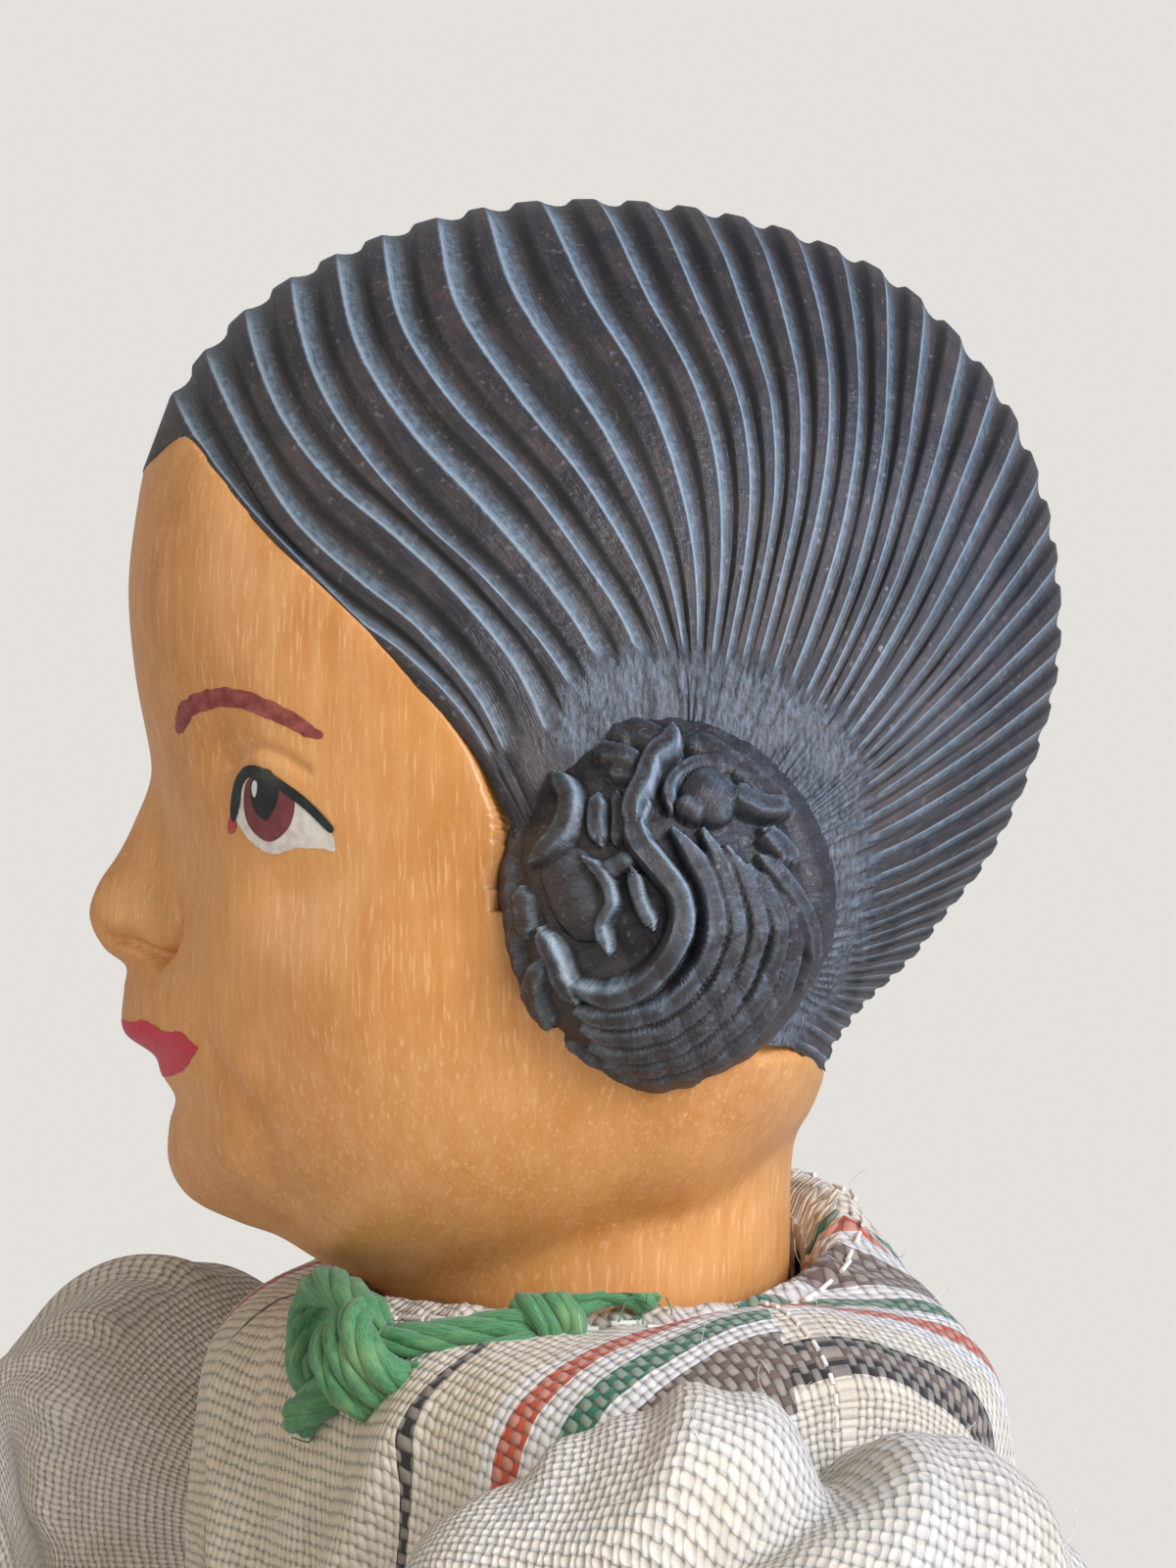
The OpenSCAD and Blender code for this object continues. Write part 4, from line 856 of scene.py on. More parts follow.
def cotton(name, stripes, ground, lightest):
    """Plain weave drawn from the cloth's own millimetres, with painted shade where the threads dip; stripes are rows
    of start and warp colour.
    """
    made, tree = material(name)
    cloth = add(tree, "TexCoord").outputs["UV"]
    slub = add(tree, "TexNoise", {"Vector": cloth, "Scale": 0.9, "Detail": 2.0})
    bend = add(tree, "VectorMath", {0: slub.outputs["Color"], 1: (0.28, 0.28, 0.0), 2: cloth},
               operation="MULTIPLY_ADD")
    split = add(tree, "SeparateXYZ", {0: bend.outputs[0]})
    waves = []
    for axis, pitch_share in (("X", 0.86), ("Y", 1.0)):
        turn = add(tree, "Math", {0: split.outputs[axis], 1: math.pi / (thread * pitch_share)},
                   operation="MULTIPLY")
        waves.append(add(tree, "Math", {0: turn.outputs[0]}, operation="SINE").outputs[0])
    # each thread is round and rides over and under those that it crosses
    heights = []
    for own, other, ride_share, size_share in ((0, 1, 0.5, 0.66), (1, 0, -0.55, 0.95)):
        sign = add(tree, "Math", {0: waves[own]}, operation="SIGN").outputs[0]
        ride = add(tree, "Math", {0: sign, 1: waves[other]}, operation="MULTIPLY").outputs[0]
        ride = add(tree, "Math", {0: ride, 1: ride_share}, operation="MULTIPLY").outputs[0]
        size = add(tree, "Math", {0: waves[own]}, operation="ABSOLUTE").outputs[0]
        narrow = add(tree, "MapRange", {"Value": size, "From Min": 0.22}).outputs[0]
        full = add(tree, "Math", {0: narrow, 1: 0.5}, operation="POWER").outputs[0]
        heights.append(add(tree, "Math", {0: full, 1: size_share, 2: ride}, operation="MULTIPLY_ADD").outputs[0])
    height = add(tree, "Math", {0: heights[0], 1: heights[1]}, operation="MAXIMUM")
    above = add(tree, "Math", {0: heights[0], 1: heights[1]}, operation="SUBTRACT")
    on_top = add(tree, "MapRange", {"Value": above.outputs[0], "From Min": -0.03, "From Max": 0.03})
    fibre = add(tree, "TexNoise", {"Vector": cloth, "Scale": 9.0, "Detail": 3.0})
    tone = add(tree, "TexNoise", {"Vector": cloth, "Scale": 0.12, "Detail": 2.0})
    wash = add(tree, "MapRange", {"Value": tone.outputs[0], "From Min": 0.25, "From Max": 0.7})
    plain = add(tree, "Mix", {0: wash.outputs[0], 6: ground, 7: lightest}, data_type="RGBA")
    hairs = add(tree, "MapRange", {"Value": fibre.outputs[0], "From Min": 0.35, "From Max": 0.75, "To Max": 0.35})
    plain = add(tree, "Mix", {0: hairs.outputs[0], 6: plain.outputs[2], 7: "#b9ab95"}, data_type="RGBA")
    colour = plain.outputs[2]
    if stripes:
        across = add(tree, "Math", {0: split.outputs["X"]}, operation="ABSOLUTE")
        at = add(tree, "Math", {0: across.outputs[0], 1: stripe_span}, operation="DIVIDE")
        ramps = []
        for rows in stripes:
            ramp = add(tree, "ValToRGB", {0: at.outputs[0]})
            ramp.color_ramp.interpolation = "CONSTANT"
            marks = ramp.color_ramp.elements
            marks[0].position, marks[0].color = 0.0, undyed
            marks[1].position, marks[1].color = 0.999, undyed
            for start, shade in rows:
                mark = marks.new(start / stripe_span)
                mark.color = undyed if shade is None else linear(shade)
            ramps.append(ramp)
        behind = add(tree, "Attribute", attribute_name="behind").outputs["Fac"]
        behind = add(tree, "Math", {0: behind, 1: 0.5}, operation="GREATER_THAN").outputs[0]
        shown = add(tree, "Mix", {0: behind, 6: ramps[0].outputs[0], 7: ramps[1].outputs[0]}, data_type="RGBA")
        dyed = add(tree, "Mix", {0: behind, 2: ramps[0].outputs[1], 3: ramps[1].outputs[1]}, data_type="FLOAT")
        thin = add(tree, "MapRange", {"Value": on_top.outputs[0], "To Min": 0.7})
        amount = add(tree, "Math", {0: thin.outputs[0], 1: dyed.outputs[0]}, operation="MULTIPLY")
        colour = add(tree, "Mix", {0: amount.outputs[0], 6: colour, 7: shown.outputs[2]},
                     data_type="RGBA").outputs[2]
    # painted shade: the cloth darkens where the threads dip between the crossings
    valley_shade = add(tree, "MapRange", {"Value": height.outputs[0], "From Min": 0.15, "From Max": 0.95,
                                    "To Min": 0.44, "To Max": 1.0})
    # no two crossings are quite the same tone
    cells = []
    for axis, pitch_share in (("X", 0.86), ("Y", 1.0)):
        cell = add(tree, "Math", {0: split.outputs[axis], 1: thread * pitch_share}, operation="DIVIDE")
        cells.append(add(tree, "Math", {0: cell.outputs[0]}, operation="FLOOR").outputs[0])
    cell = add(tree, "CombineXYZ", {0: cells[0], 1: cells[1]})
    chance = add(tree, "TexWhiteNoise", {"Vector": cell.outputs[0]}, noise_dimensions="2D")
    uneven = add(tree, "MapRange", {"Value": chance.outputs["Value"], "To Min": 0.84, "To Max": 1.0})
    valley_shade = add(tree, "Math", {0: valley_shade.outputs[0], 1: uneven.outputs[0]}, operation="MULTIPLY")
    shaded = add(tree, "Mix", {0: 1.0, 6: colour, 7: valley_shade.outputs[0]}, data_type="RGBA", blend_type="MULTIPLY")
    rough = add(tree, "Mix", {0: 0.12, 2: height.outputs[0], 3: fibre.outputs[0]}, data_type="FLOAT")
    bump = add(tree, "Bump", {"Height": rough.outputs[0], "Strength": 0.9, "Distance": 0.0002})
    shader = add(tree, "BsdfPrincipled", {"Base Color": shaded.outputs[2], "Roughness": 0.85,
                                          "Normal": bump.outputs[0], "Sheen Weight": 0.25,
                                          "Sheen Roughness": 0.5})
    add(tree, "OutputMaterial", {"Surface": shader.outputs[0]})
    return made


orange, green, brown, white, black = "#c9502b", "#2f7358", "#6e5c52", "#e9e7e1", "#2a2624"
# Each colour starts this far from the middle of the front or the back
front_stripes = [(10.5, black), (11.2, None), (15.4, white), (16.2, orange), (17.5, white), (18.6, green),
                 (19.9, white), (20.8, brown), (24.4, white), (25.4, None)]
back_stripes = [(7.0, green), (7.8, white), (8.6, orange), (9.3, white), (11.0, brown), (14.0, white),
                (14.9, green), (16.2, white), (17.1, orange), (18.3, white), (19.6, None), (21.6, black),
                (22.2, brown), (22.9, black), (23.5, None)]
# The cream ground is a little darker and warmer than the sleeves': painted shade on the chest
blouse_cotton = cotton("striped_cotton", [front_stripes, back_stripes], "#e2d2b5", "#efe6d4")

shoulder_x = 24.0
collar_low = neck_seat + 0.3
hem_low = 163.5
collar_ring_r = neck_r + 1.5
back_rise = 5.06
# Height share, half-width, half-depth and rise at the back, as in the part, and depth of the folds
blouse_rows = [
    (0, .985, .83, 0, .045), (.1, .98, .8, 0, .045), (.24, .96, .72, 0, .035), (.4, .97, .69, 0, .03),
    (.58, 1, .72, 0, .025), (.74, 1.01, .75, 0, .02), (.86, 1.02, .73, .05, .012), (.92, 1.02, .705, .12, .008),
    (.96, .985, .68, .3, .006), (.985, .84, .63, .6, .01), (1.0, .66, .57, .85, .014)]
blouse_curves = [curve([(r[0], r[k]) for r in blouse_rows]) for k in (1, 2, 3, 4)]


def oval_radius(turn, wide, deep, power):
    """Distance to a superellipse, in each direction."""
    c, s = np.abs(np.cos(turn)), np.abs(np.sin(turn))
    return ((c / wide) ** power + (s / deep) ** power) ** (-1 / power)


levels = np.concatenate([np.linspace(0, 0.8, 60), np.linspace(0.805, 0.995, 46)])
turn = np.linspace(0, 2 * math.pi, 330, endpoint=False) - math.pi / 2
level, around = np.meshgrid(levels, turn, indexing="ij")
wide, deep, rise, fold = (c(level) for c in blouse_curves)
radius = oval_radius(around, shoulder_x * wide, shoulder_x * deep, 2.6)
from_front = np.abs(np.arctan2(np.cos(around), -np.sin(around)))
folds = np.cos(around * 10 + 0.5 * np.sin(around * 3 + level * 4)) + 0.45 * np.cos(around * 23 + 1.7 + level * 3)
radius = radius + shoulder_x * fold * folds
# a soft fold hangs from the neckline over the breast on each side
height_here = hem_low + (collar_low - hem_low) * level
from_fold = np.abs(radius * np.cos(around)) - 7 - 0.39 * (height_here - 244)
over_breast = ease((height_here - 205) / 25) * ease((1.0 - level) / 0.05)
radius = radius + np.where(np.sin(around) < 0, 1.0, 0.3) * (
    bell(from_fold / 1.7) - 0.6 * bell((from_fold + 3.6) / 1.6)) * over_breast
x = np.clip(radius * np.cos(around), -shoulder_x, shoulder_x)
y = radius * np.sin(around)
back = ease(from_front / (math.pi / 2) - 1)
z = height_here + back_rise * rise * back
# the shoulders stand level with the neckline, held up by the gathers of the sleeves
lift = ease((level - 0.9) / 0.08) * ease((np.abs(x) - 11) / 9) * bell((y + 1) / 9.5)
points = np.stack([x, y, z + 2.6 * lift], -1)
# the neckline: up over the edge, turned in and down
edge = np.stack([np.cos(turn), np.sin(turn), 0 * turn], -1)
pucker = 0.22 * np.cos(turn * 31) + 0.16 * np.cos(turn * 19 + 1)
neckline = []
for out, up in ((1.9, -0.35), (1.1, 0.1), (0.5, 0.42), (-0.05, 0.5), (-0.5, 0.3), (-0.7, -0.3),
                (-0.75, -1.5), (-0.8, -3)):
    ring = edge * (collar_ring_r + out + pucker * (0.6 if out > 0 else 0.1))[:, None]
    ring[:, 2] = collar_low + 0.7 + up + back_rise * back[0] + 0.5 * pucker * (out > -0.6)
    neckline.append(ring)
hem = [points[0] - edge * k + np.array([0, 0, m]) for k, m in ((1.0, 3.0), (0.9, 0.5), (0.5, -0.1))]
# where the stitches run, just outside the cloth
neck_run = neckline[0] + 0.12 * edge + np.array([0, 0, 0.1])
hem_run = points[6] + 0.1 * edge
beside = np.argmin(np.abs(np.arctan2(points[-1][:, 1], points[-1][:, 0]) + 0.02))
seam_run = points[62:, beside] + np.array([0, 0, 0.1])
neck_run = below_head(neck_run, 0.1)
points = np.concatenate([hem, points, below_head(np.array(neckline), 0.2)], 0)
# the cloth's own millimetres: across from the middle of the front or back, and down from the shoulder
along = np.cumsum(np.linalg.norm(points - np.roll(points, 1, 1), axis=-1), 1)
along = np.minimum(along, along[:, -1:] - along)
half_way = along.max(1, keepdims=True)
along = np.minimum(along, half_way * 2 - along)
high = ease((points[..., 2] - 236) / 8)
gathered = 1 + 0.24 * ease((points[..., 2] - 247) / 7) * ease((16 - np.hypot(points[..., 0], points[..., 1])) / 4)
side_to_side = np.where(points[..., 1] < 0, along, half_way - along)
# over the shoulder the threads run round from the front to the back
turn_z, turn_r = 236.0, 17.0
down_side = np.maximum(0, 16.4 - np.hypot(points[..., 1], points[..., 2] - turn_z)) * ease(
    (np.abs(points[..., 0]) - 21) / 3)
side_to_side = np.sign(points[..., 0]) * (
    side_to_side * (1 - high) + (np.abs(points[..., 0]) * gathered + down_side) * high)
over = np.arctan2(points[..., 2] - turn_z, np.abs(points[..., 1]) + 1e-6)
up = np.where(points[..., 2] > turn_z, turn_r * over, points[..., 2] - turn_z)
uv = np.stack([side_to_side, -up], -1)
# the back's stripes begin behind the shoulder
behind = (points[..., 1] > -1.4 - 0.35 * (np.abs(points[..., 0]) - 20)).astype(float)
blouse = grid_piece("blouse", points, blouse_cotton, ring=True, uv=uv, values={"behind": behind})
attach(blouse, "torso")
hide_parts("blouse_body")

# Sleeves. The same cotton, gathered into a full round puff at the shoulder seam and again at the cuff
# above the elbow. The seam sits at the trunk's shoulder, inside the blouse.
arm_x = 30.1
shoulder_z = 238.0
arm_lift = math.radians(40)
arm_way = np.array([0, -math.sin(arm_lift), -math.cos(arm_lift)])
arm_side = np.array([0, math.cos(arm_lift), -math.sin(arm_lift)])
cuff_at = np.array([arm_x, 0, shoulder_z]) + 36 * arm_way
# The sleeves' ground is a little paler than the blouse's, which carries painted shade
sleeve_cotton = cotton("cream_cotton", [], "#e4d6bc", "#f1ece2")
sleeve_path = np.array([(23.6, -4.5, 239.0), (30.5, -9, 241.0), (arm_x + 1.0, -18, 226), tuple(cuff_at)])
sleeve_rows = [(0, 12.8), (.04, 13.8), (.12, 14.3), (.28, 14.0), (.5, 13.6), (.7, 12.6), (.84, 10.6), (.92, 9.2),
               (.955, 8.5), (.975, 8.9), (1, 9.8)]
sleeve_size = curve(sleeve_rows)
s = np.concatenate([np.linspace(0, 0.3, 44), np.linspace(0.31, 1, 86)])
b = np.stack([(1 - s) ** 3, 3 * s * (1 - s) ** 2, 3 * s * s * (1 - s), s ** 3], -1)
middle = b @ sleeve_path
way = np.gradient(middle, s, axis=0)
way /= np.linalg.norm(way, axis=1, keepdims=True)
second = np.cross(way, arm_side)
second /= np.linalg.norm(second, axis=1, keepdims=True)
turn = np.linspace(0, 2 * math.pi, 300, endpoint=False)
place_s, around = np.meshgrid(s, turn, indexing="ij")
gather_top = bell((place_s - 0.06) / 0.13)
gather_cuff = bell((place_s - 0.93) / 0.09)
waves = np.cos(around * 17 + 1.3 * np.sin(around * 3)) + 0.6 * np.cos(around * 29 + 2)
big = np.cos(around * 5 + 2.5 * place_s + 0.8) + 0.6 * np.cos(around * 8 - 3 * place_s)
# a deep fold behind the top parts a front roll from a back one; a shallower one crosses below
up_way = np.array([0, 0.26, 0.97])
fold_at = np.arctan2(second @ up_way, np.full(len(s), arm_side @ up_way))[:, None]
off_fold = np.angle(np.exp(1j * (around - fold_at)))
deep_fold = bell(off_fold / 0.17) * ease((0.62 - place_s) / 0.3)
front_roll = bell((off_fold + 0.62) / 0.5) * ease((0.5 - place_s) / 0.3)
back_roll = bell((off_fold - 0.5) / 0.28) * ease((0.7 - place_s) / 0.3)
under_roll = bell((place_s - 0.36 - 0.05 * np.sin(around * 2)) / 0.035)
out_bump = bell(np.angle(np.exp(1j * (around - 0.15))) / 0.5) * bell((place_s - 0.25) / 0.2)
radius = (sleeve_size(place_s) + 0.24 * waves * (gather_top + 1.4 * gather_cuff) * ease(place_s / 0.02)
          + 0.6 * big * ease(place_s / 0.2) * ease((0.95 - place_s) / 0.2)
          + 2.4 * out_bump - 3.8 * deep_fold + 1.6 * front_roll + 0.2 * back_roll - 0.9 * under_roll)
broad = 1 + 0.2 * ease((0.75 - place_s) / 0.5)
points = (middle[:, None] + radius[..., None] * ((broad * np.cos(around))[..., None] * arm_side
          + np.sin(around)[..., None] * second[:, None]))
# inside the bend the cloth runs straight from the seam down the arm
bend_end = int(np.argmin(np.abs(s - 0.75)))
inside_way = way[-1] - way[0]
out_way = np.cos(turn)[:, None] * arm_side + np.sin(turn)[:, None] * second[bend_end // 2]
inside = ease((out_way @ inside_way / np.linalg.norm(inside_way) + 0.3) / 0.9)[:, None]
gone = (s[:bend_end] / s[bend_end])[:, None, None]
straight = points[0] + (points[bend_end] - points[0]) * gone
points[:bend_end] = points[:bend_end] * (1 - inside) + straight * inside
points[..., 0] = np.maximum(points[..., 0], 24.35 - 0.65 * (1 - ease(place_s / 0.05)))
cuff_run = points[np.argmin(np.abs(s - 0.95))]
# the gathers close in to the seam, inside the puff
seam = [points[0] * np.array([0, k, k]) + np.array([x, -4.5 * (1 - k), 239.0 * (1 - k)])
        for k, x in ((0.55, 16.8), (0.72, 19.8), (0.88, 22.0))]
points = np.concatenate([seam, points], 0)
steps = np.linalg.norm(np.diff(points, axis=0), axis=-1).mean(1)
down = np.concatenate([[0], np.cumsum(steps)])
around = np.broadcast_to(turn, points.shape[:2])
uv = np.stack([around * 15.9, np.broadcast_to(down[:, None], around.shape)], -1)
sleeves = {}
for side, name in ((1, "left"), (-1, "right")):
    sleeve = grid_piece("sleeve_cloth_" + name, points * np.array([side, 1, 1]), sleeve_cotton, ring=True,
                        uv=uv, flip=side > 0)
    sleeves[name] = sleeve
    tuple(place([side * 20.0, 0, 240]))
    tuple(place([side * 24.3, 0, 240]))
    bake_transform(sleeve)
    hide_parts("sleeve_" + name)

# Tie. Green cotton floss of six loose strands, laid round the front of the neckline and knotted: a
# looped knot in front with one short end, a smaller knot to its left with a frayed tip.


def tube(path, size, sides=8):
    """Rings round a path; the path and the sizes have one entry for each ring."""
    way = np.gradient(path, axis=0)
    way /= np.linalg.norm(way, axis=1, keepdims=True) + 1e-12
    first = np.zeros_like(way)
    guide = np.array([0.0, 0.0, 1.0]) if abs(way[0, 2]) < 0.9 else np.array([1.0, 0.0, 0.0])
    for i, w in enumerate(way):
        guide = guide - w * (guide @ w)
        guide /= np.linalg.norm(guide) + 1e-12
        first[i] = guide
    second = np.cross(way, first)
    t = np.linspace(0, 2 * math.pi, sides, endpoint=False)
    size = np.broadcast_to(size, len(path))
    rings = path[:, None] + size[:, None, None] * (np.cos(t)[None, :, None] * first[:, None]
                                                   + np.sin(t)[None, :, None] * second[:, None])
    return rings, first, second


def floss(points, size, plies=5, twist=0.55, end_size=0.5):
    """A twisted cord: plies wound round a path through the points. Gives each ply's rings."""
    path = smooth_line(points, 14)
    gone = np.concatenate([[0], np.cumsum(np.linalg.norm(np.diff(path, axis=0), axis=1))])
    share = gone / gone[-1]
    taper = np.minimum(1, end_size + 6 * np.minimum(share, 1 - share))
    _, first, second = tube(path, 1)
    made = []
    for k in range(plies):
        a = 2 * math.pi * k / plies + gone / size * twist
        off = size * 0.56 * taper
        ply = path + off[:, None] * (np.cos(a)[:, None] * first + np.sin(a)[:, None] * second)
        made.append(tube(ply, size * 0.52 * taper, 8)[0])
    return made


# Soft satin fibres lie along each strand, and the green is faded in patches
floss_green, tree = material("green_cotton_floss")
at = add(tree, "TexCoord")
lay = add(tree, "Mapping", {"Vector": at.outputs["UV"], "Scale": (2.2, 0.25, 1.0)}).outputs[0]
fibre = add(tree, "TexNoise", {"Vector": lay, "Scale": 6.0, "Detail": 4.0, "Roughness": 0.7})
patchy = add(tree, "TexNoise", {"Vector": at.outputs["Object"], "Scale": 420.0, "Detail": 2.0})
shade = add(tree, "MapRange", {"Value": fibre.outputs[0], "From Min": 0.36, "From Max": 0.66})
tone = add(tree, "Mix", {0: shade.outputs[0], 6: "#2c6a41", 7: "#62a567"}, data_type="RGBA")
faded = add(tree, "MapRange", {"Value": patchy.outputs[0], "From Min": 0.56, "From Max": 0.72, "To Max": 0.6})
tone = add(tree, "Mix", {0: faded.outputs[0], 6: tone.outputs[2], 7: "#93b574"}, data_type="RGBA")
bump = add(tree, "Bump", {"Height": fibre.outputs[0], "Strength": 0.7, "Distance": 0.00008})
shader = add(tree, "BsdfPrincipled", {"Base Color": tone.outputs[2], "Roughness": 0.6, "Normal": bump.outputs[0],
                                      "Sheen Weight": 0.3})
add(tree, "OutputMaterial", {"Surface": shader.outputs[0]})


def at_neck(turns_out_up):
    """Points given as degrees from the front towards the doll's left, distance out and height."""
    t = np.array(turns_out_up, float)
    a = np.radians(t[:, 0])
    return np.stack([t[:, 1] * np.sin(a), -t[:, 1] * np.cos(a), t[:, 2]], -1)


cords = [
    ([(21, 16.2, 253.6), (27, 15.9, 253.8), (35, 15.2, 254.1), (43, 14.6, 254.5), (50, 14.0, 254.9)], .85),
    ([(21, 16.4, 252.0), (28, 16.3, 252.0), (36, 15.8, 252.5), (44, 15.1, 253.3), (51, 14.2, 254.3)], .85),
    ([(24, 16.4, 254.4), (18, 16.4, 255.3), (8, 15.7, 255.9), (0, 15.3, 255.5), (-4, 15.3, 254.2),
      (-3, 15.6, 252.9), (2, 16.2, 251.8), (8, 16.8, 251.2)], 1.0),
    ([(15, 16.8, 251.6), (11, 17.1, 250.7), (7, 17.1, 250.0), (4, 17.0, 249.3)], 1.0),
    ([(46, 13.6, 255.6), (50, 14.5, 255.4), (53, 14.6, 254.6), (52, 13.9, 253.6), (49, 13.3, 253.7)], .72),
    ([(50, 13.5, 255.9), (55, 14.5, 255.6), (57, 14.4, 254.7), (55, 13.7, 253.8)], .7),
    ([(53, 13.7, 254.8), (58, 13.7, 255.7), (63, 13.6, 256.3), (69, 13.4, 256.2), (74, 13.3, 255.6)], .85),
]
# the front knot: three turns of the cord round a ball, which lean to the left at the top
knot = np.array([20.5, 16.6, 252.9])
for k in (-1, 0, 1):
    wrap = []
    for turn_at in np.radians(np.arange(-40, 221, 26)):
        lengthwise, crosswise = 1.85 * math.cos(turn_at), 1.15 * k
        wrap.append(tuple(knot + np.array([(lengthwise * 0.6 + crosswise * 0.8) * 3.5,
                                           1.35 * math.sin(turn_at), -lengthwise * 0.8 + crosswise * 0.6])))
    cords.append((wrap, .88))
rings = [ply for points, size in cords for ply in floss(at_neck(points), size)]
# frayed ends: where they stand, how many and how long
loose = [((74, 13.3, 255.6), 9, 2.4), ((4, 17.0, 249.4), 7, 1.4), ((30, 14.9, 254.2), 6, 1.2),
         ((-3, 15.4, 254.2), 5, 1.5)]
rng = np.random.default_rng(3)
for start, count, long in loose:
    for _ in range(count):
        base = at_neck([start])[0] + rng.normal(0, 0.35, 3)
        aim = np.array([rng.normal(0.3, 0.6), rng.normal(-0.5, 0.5), rng.normal(-0.3, 0.6)])
        aim *= long / np.linalg.norm(aim) * rng.uniform(0.5, 1)
        hair_line = smooth_line([base, base + aim * 0.5 + rng.normal(0, 0.2, 3), base + aim], 6)
        rings.append(tube(hair_line, 0.045, 4)[0])
corners, faces, uvs = [], [], []
for ply in rings:
    ply = below_head(ply, 0.1)
    count, sides = ply.shape[:2]
    start = len(corners)
    corners.extend(place(ply).reshape(-1, 3).tolist())
    for i in range(count):
        uvs.extend([(k / sides * 3, i * 0.12 + start * 0.013) for k in range(sides)])
    for i in range(count - 1):
        for k in range(sides):
            n = (k + 1) % sides
            faces.append((start + i * sides + k, start + i * sides + n, start + (i + 1) * sides + n,
                          start + (i + 1) * sides + k))
    faces.append(tuple(start + k for k in range(sides))[::-1])
    faces.append(tuple(start + (count - 1) * sides + k for k in range(sides)))
tie = new_piece("floss_tie", corners, faces, floss_green, uvs)
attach(tie, "torso")
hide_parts("neck_tie")

# Drawers. Loose legs of plain cream cotton, gathered at a hem above each knee, a band round the trunk
# under the blouse and a strip between the legs. Each leg hangs from the band round its thigh.
hip_x = 11.5
hip_z = 148.0
leg_gather_z = 93.3
drawers_cotton = cotton("plain_cotton", [], "#dcd4c6", "#efebe2")
drawers_rows = [(88, .9), (91, .82), (93.3, .74), (95.5, .77), (99, .88), (105, .97), (114, 1), (124, 1),
                (134, .985), (142, .95), (150, .9), (160, .86), (170, .84)]
leg_size = curve([(r[0], 13.2 * r[1]) for r in drawers_rows])
band_low, band_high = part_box("drawers_band")
wide, deep = (band_high.x - band_low.x) * 500, (band_high.y - band_low.y) * 500
heights = np.concatenate([np.linspace(88, 100, 36), np.linspace(100.8, 172, 70)])
turn = np.linspace(0, 2 * math.pi, 200, endpoint=False)
z, around = np.meshgrid(heights, turn, indexing="ij")
gather = bell((z - leg_gather_z) / 4.5)
# above the thigh the two legs meet in front of and behind the trunk
upper = ease((z - 137) / 12)
half_wide = leg_size(z) * (1 - upper) + (wide + 0.5) / 2 * upper
half_deep = leg_size(z) * (1 - upper) + (deep + 0.5) * upper
radius = oval_radius(around, half_wide, half_deep, 2 + 3.5 * upper) + (
    0.3 * np.cos(around * 19 + np.sin(around * 4)) * gather + 0.4 * np.cos(around * 7 + z * 0.05) * (1 - gather))
x = np.maximum(hip_x * (1 - upper) + (wide + 0.5) / 2 * upper + radius * np.cos(around), 0.12)
y = radius * np.sin(around)
points = np.stack([x, y, z], -1)
leg_run = points[np.argmin(np.abs(heights - leg_gather_z))]
uv = np.stack([around * 12, z], -1)
for side, name in ((1, "left"), (-1, "right")):
    leg = grid_piece("drawers_leg_" + name, points * np.array([side, 1, 1]), drawers_cotton, ring=True, uv=uv,
                     flip=side < 0)
    tuple(place([side * hip_x, 0, 160]))
    tuple(place([side * hip_x, 0, 138]))
    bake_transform(leg)
    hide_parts("drawers_" + name)

band_z = np.linspace(band_low.z * 1000, band_high.z * 1000, 30)
z, around = np.meshgrid(band_z, np.linspace(0, 2 * math.pi, 240, endpoint=False), indexing="ij")
radius = oval_radius(around, wide, deep, 2.3) + 0.12 * np.cos(around * 40)
points = np.stack([radius * np.cos(around), radius * np.sin(around), z], -1)
band = grid_piece("drawers_waistband", points, drawers_cotton, ring=True, uv=np.stack([around * 19, z], -1))
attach(band, "torso")
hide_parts("drawers_band")
# a narrow piece of the same cloth passes between the legs
gusset_r = 9.75
path = [(-gusset_r, z) for z in np.linspace(163, 149, 12)]
path += [(-gusset_r * math.cos(t), hip_z - gusset_r * math.sin(t)) for t in np.linspace(0, math.pi, 40)]
path += [(gusset_r, z) for z in np.linspace(149, 163, 12)]
path = np.array(path)
x, y = np.meshgrid(np.linspace(-5.2, 5.2, 13), path[:, 0])
z = np.broadcast_to(path[:, 1:], x.shape)
points = np.stack([x, y, z], -1)
along = np.broadcast_to(np.linspace(0, 58.6, len(path))[:, None], x.shape)
gusset = grid_piece("drawers_gusset", points, drawers_cotton, uv=np.stack([x, along], -1), flip=True)
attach(gusset, "torso")

# Sewing. Running stitches of white thread hold the turned edges and the gathers, and loose ends of cotton
# stand out of the coarse cloth. Both are repeated by node groups.


def node_group(name, sizes):
    """A group that takes a mesh and these sizes, and gives a mesh. Gives the group and what it takes."""
    group = bpy.data.node_groups.new(name, "GeometryNodeTree")
    group.interface.new_socket(name="Geometry", in_out="INPUT", socket_type="NodeSocketGeometry")
    for label, value in sizes.items():
        kind = "NodeSocketInt" if label == "Seed" else "NodeSocketFloat"
        group.interface.new_socket(name=label, in_out="INPUT", socket_type=kind).default_value = value
    group.interface.new_socket(name="Geometry", in_out="OUTPUT", socket_type="NodeSocketGeometry")
    return group, group.nodes.new("NodeGroupInput").outputs


def finish_group(group, geometry, finish):
    real = add(group, "GeometryNodeRealizeInstances", {0: geometry}).outputs[0]
    painted = add(group, "GeometryNodeSetMaterial", {0: real, "Material": finish}).outputs[0]
    add(group, "NodeGroupOutput", {0: painted})


def run_nodes(name, mesh, group, sizes):
    """A plain mesh object made by the node group from the mesh."""
    source = new_object(name + "_source", mesh)
    modifier = source.modifiers.new("nodes", "NODES")
    modifier.node_group = group
    for item in group.interface.items_tree:
        if item.in_out == "INPUT" and item.name in sizes:
            modifier[item.identifier] = sizes[item.name]
    result = bpy.data.meshes.new_from_object(source.evaluated_get(bpy.context.evaluated_depsgraph_get()))
    source.modifiers.remove(modifier)
    bpy.data.objects.remove(source)
    return new_object(name, result)


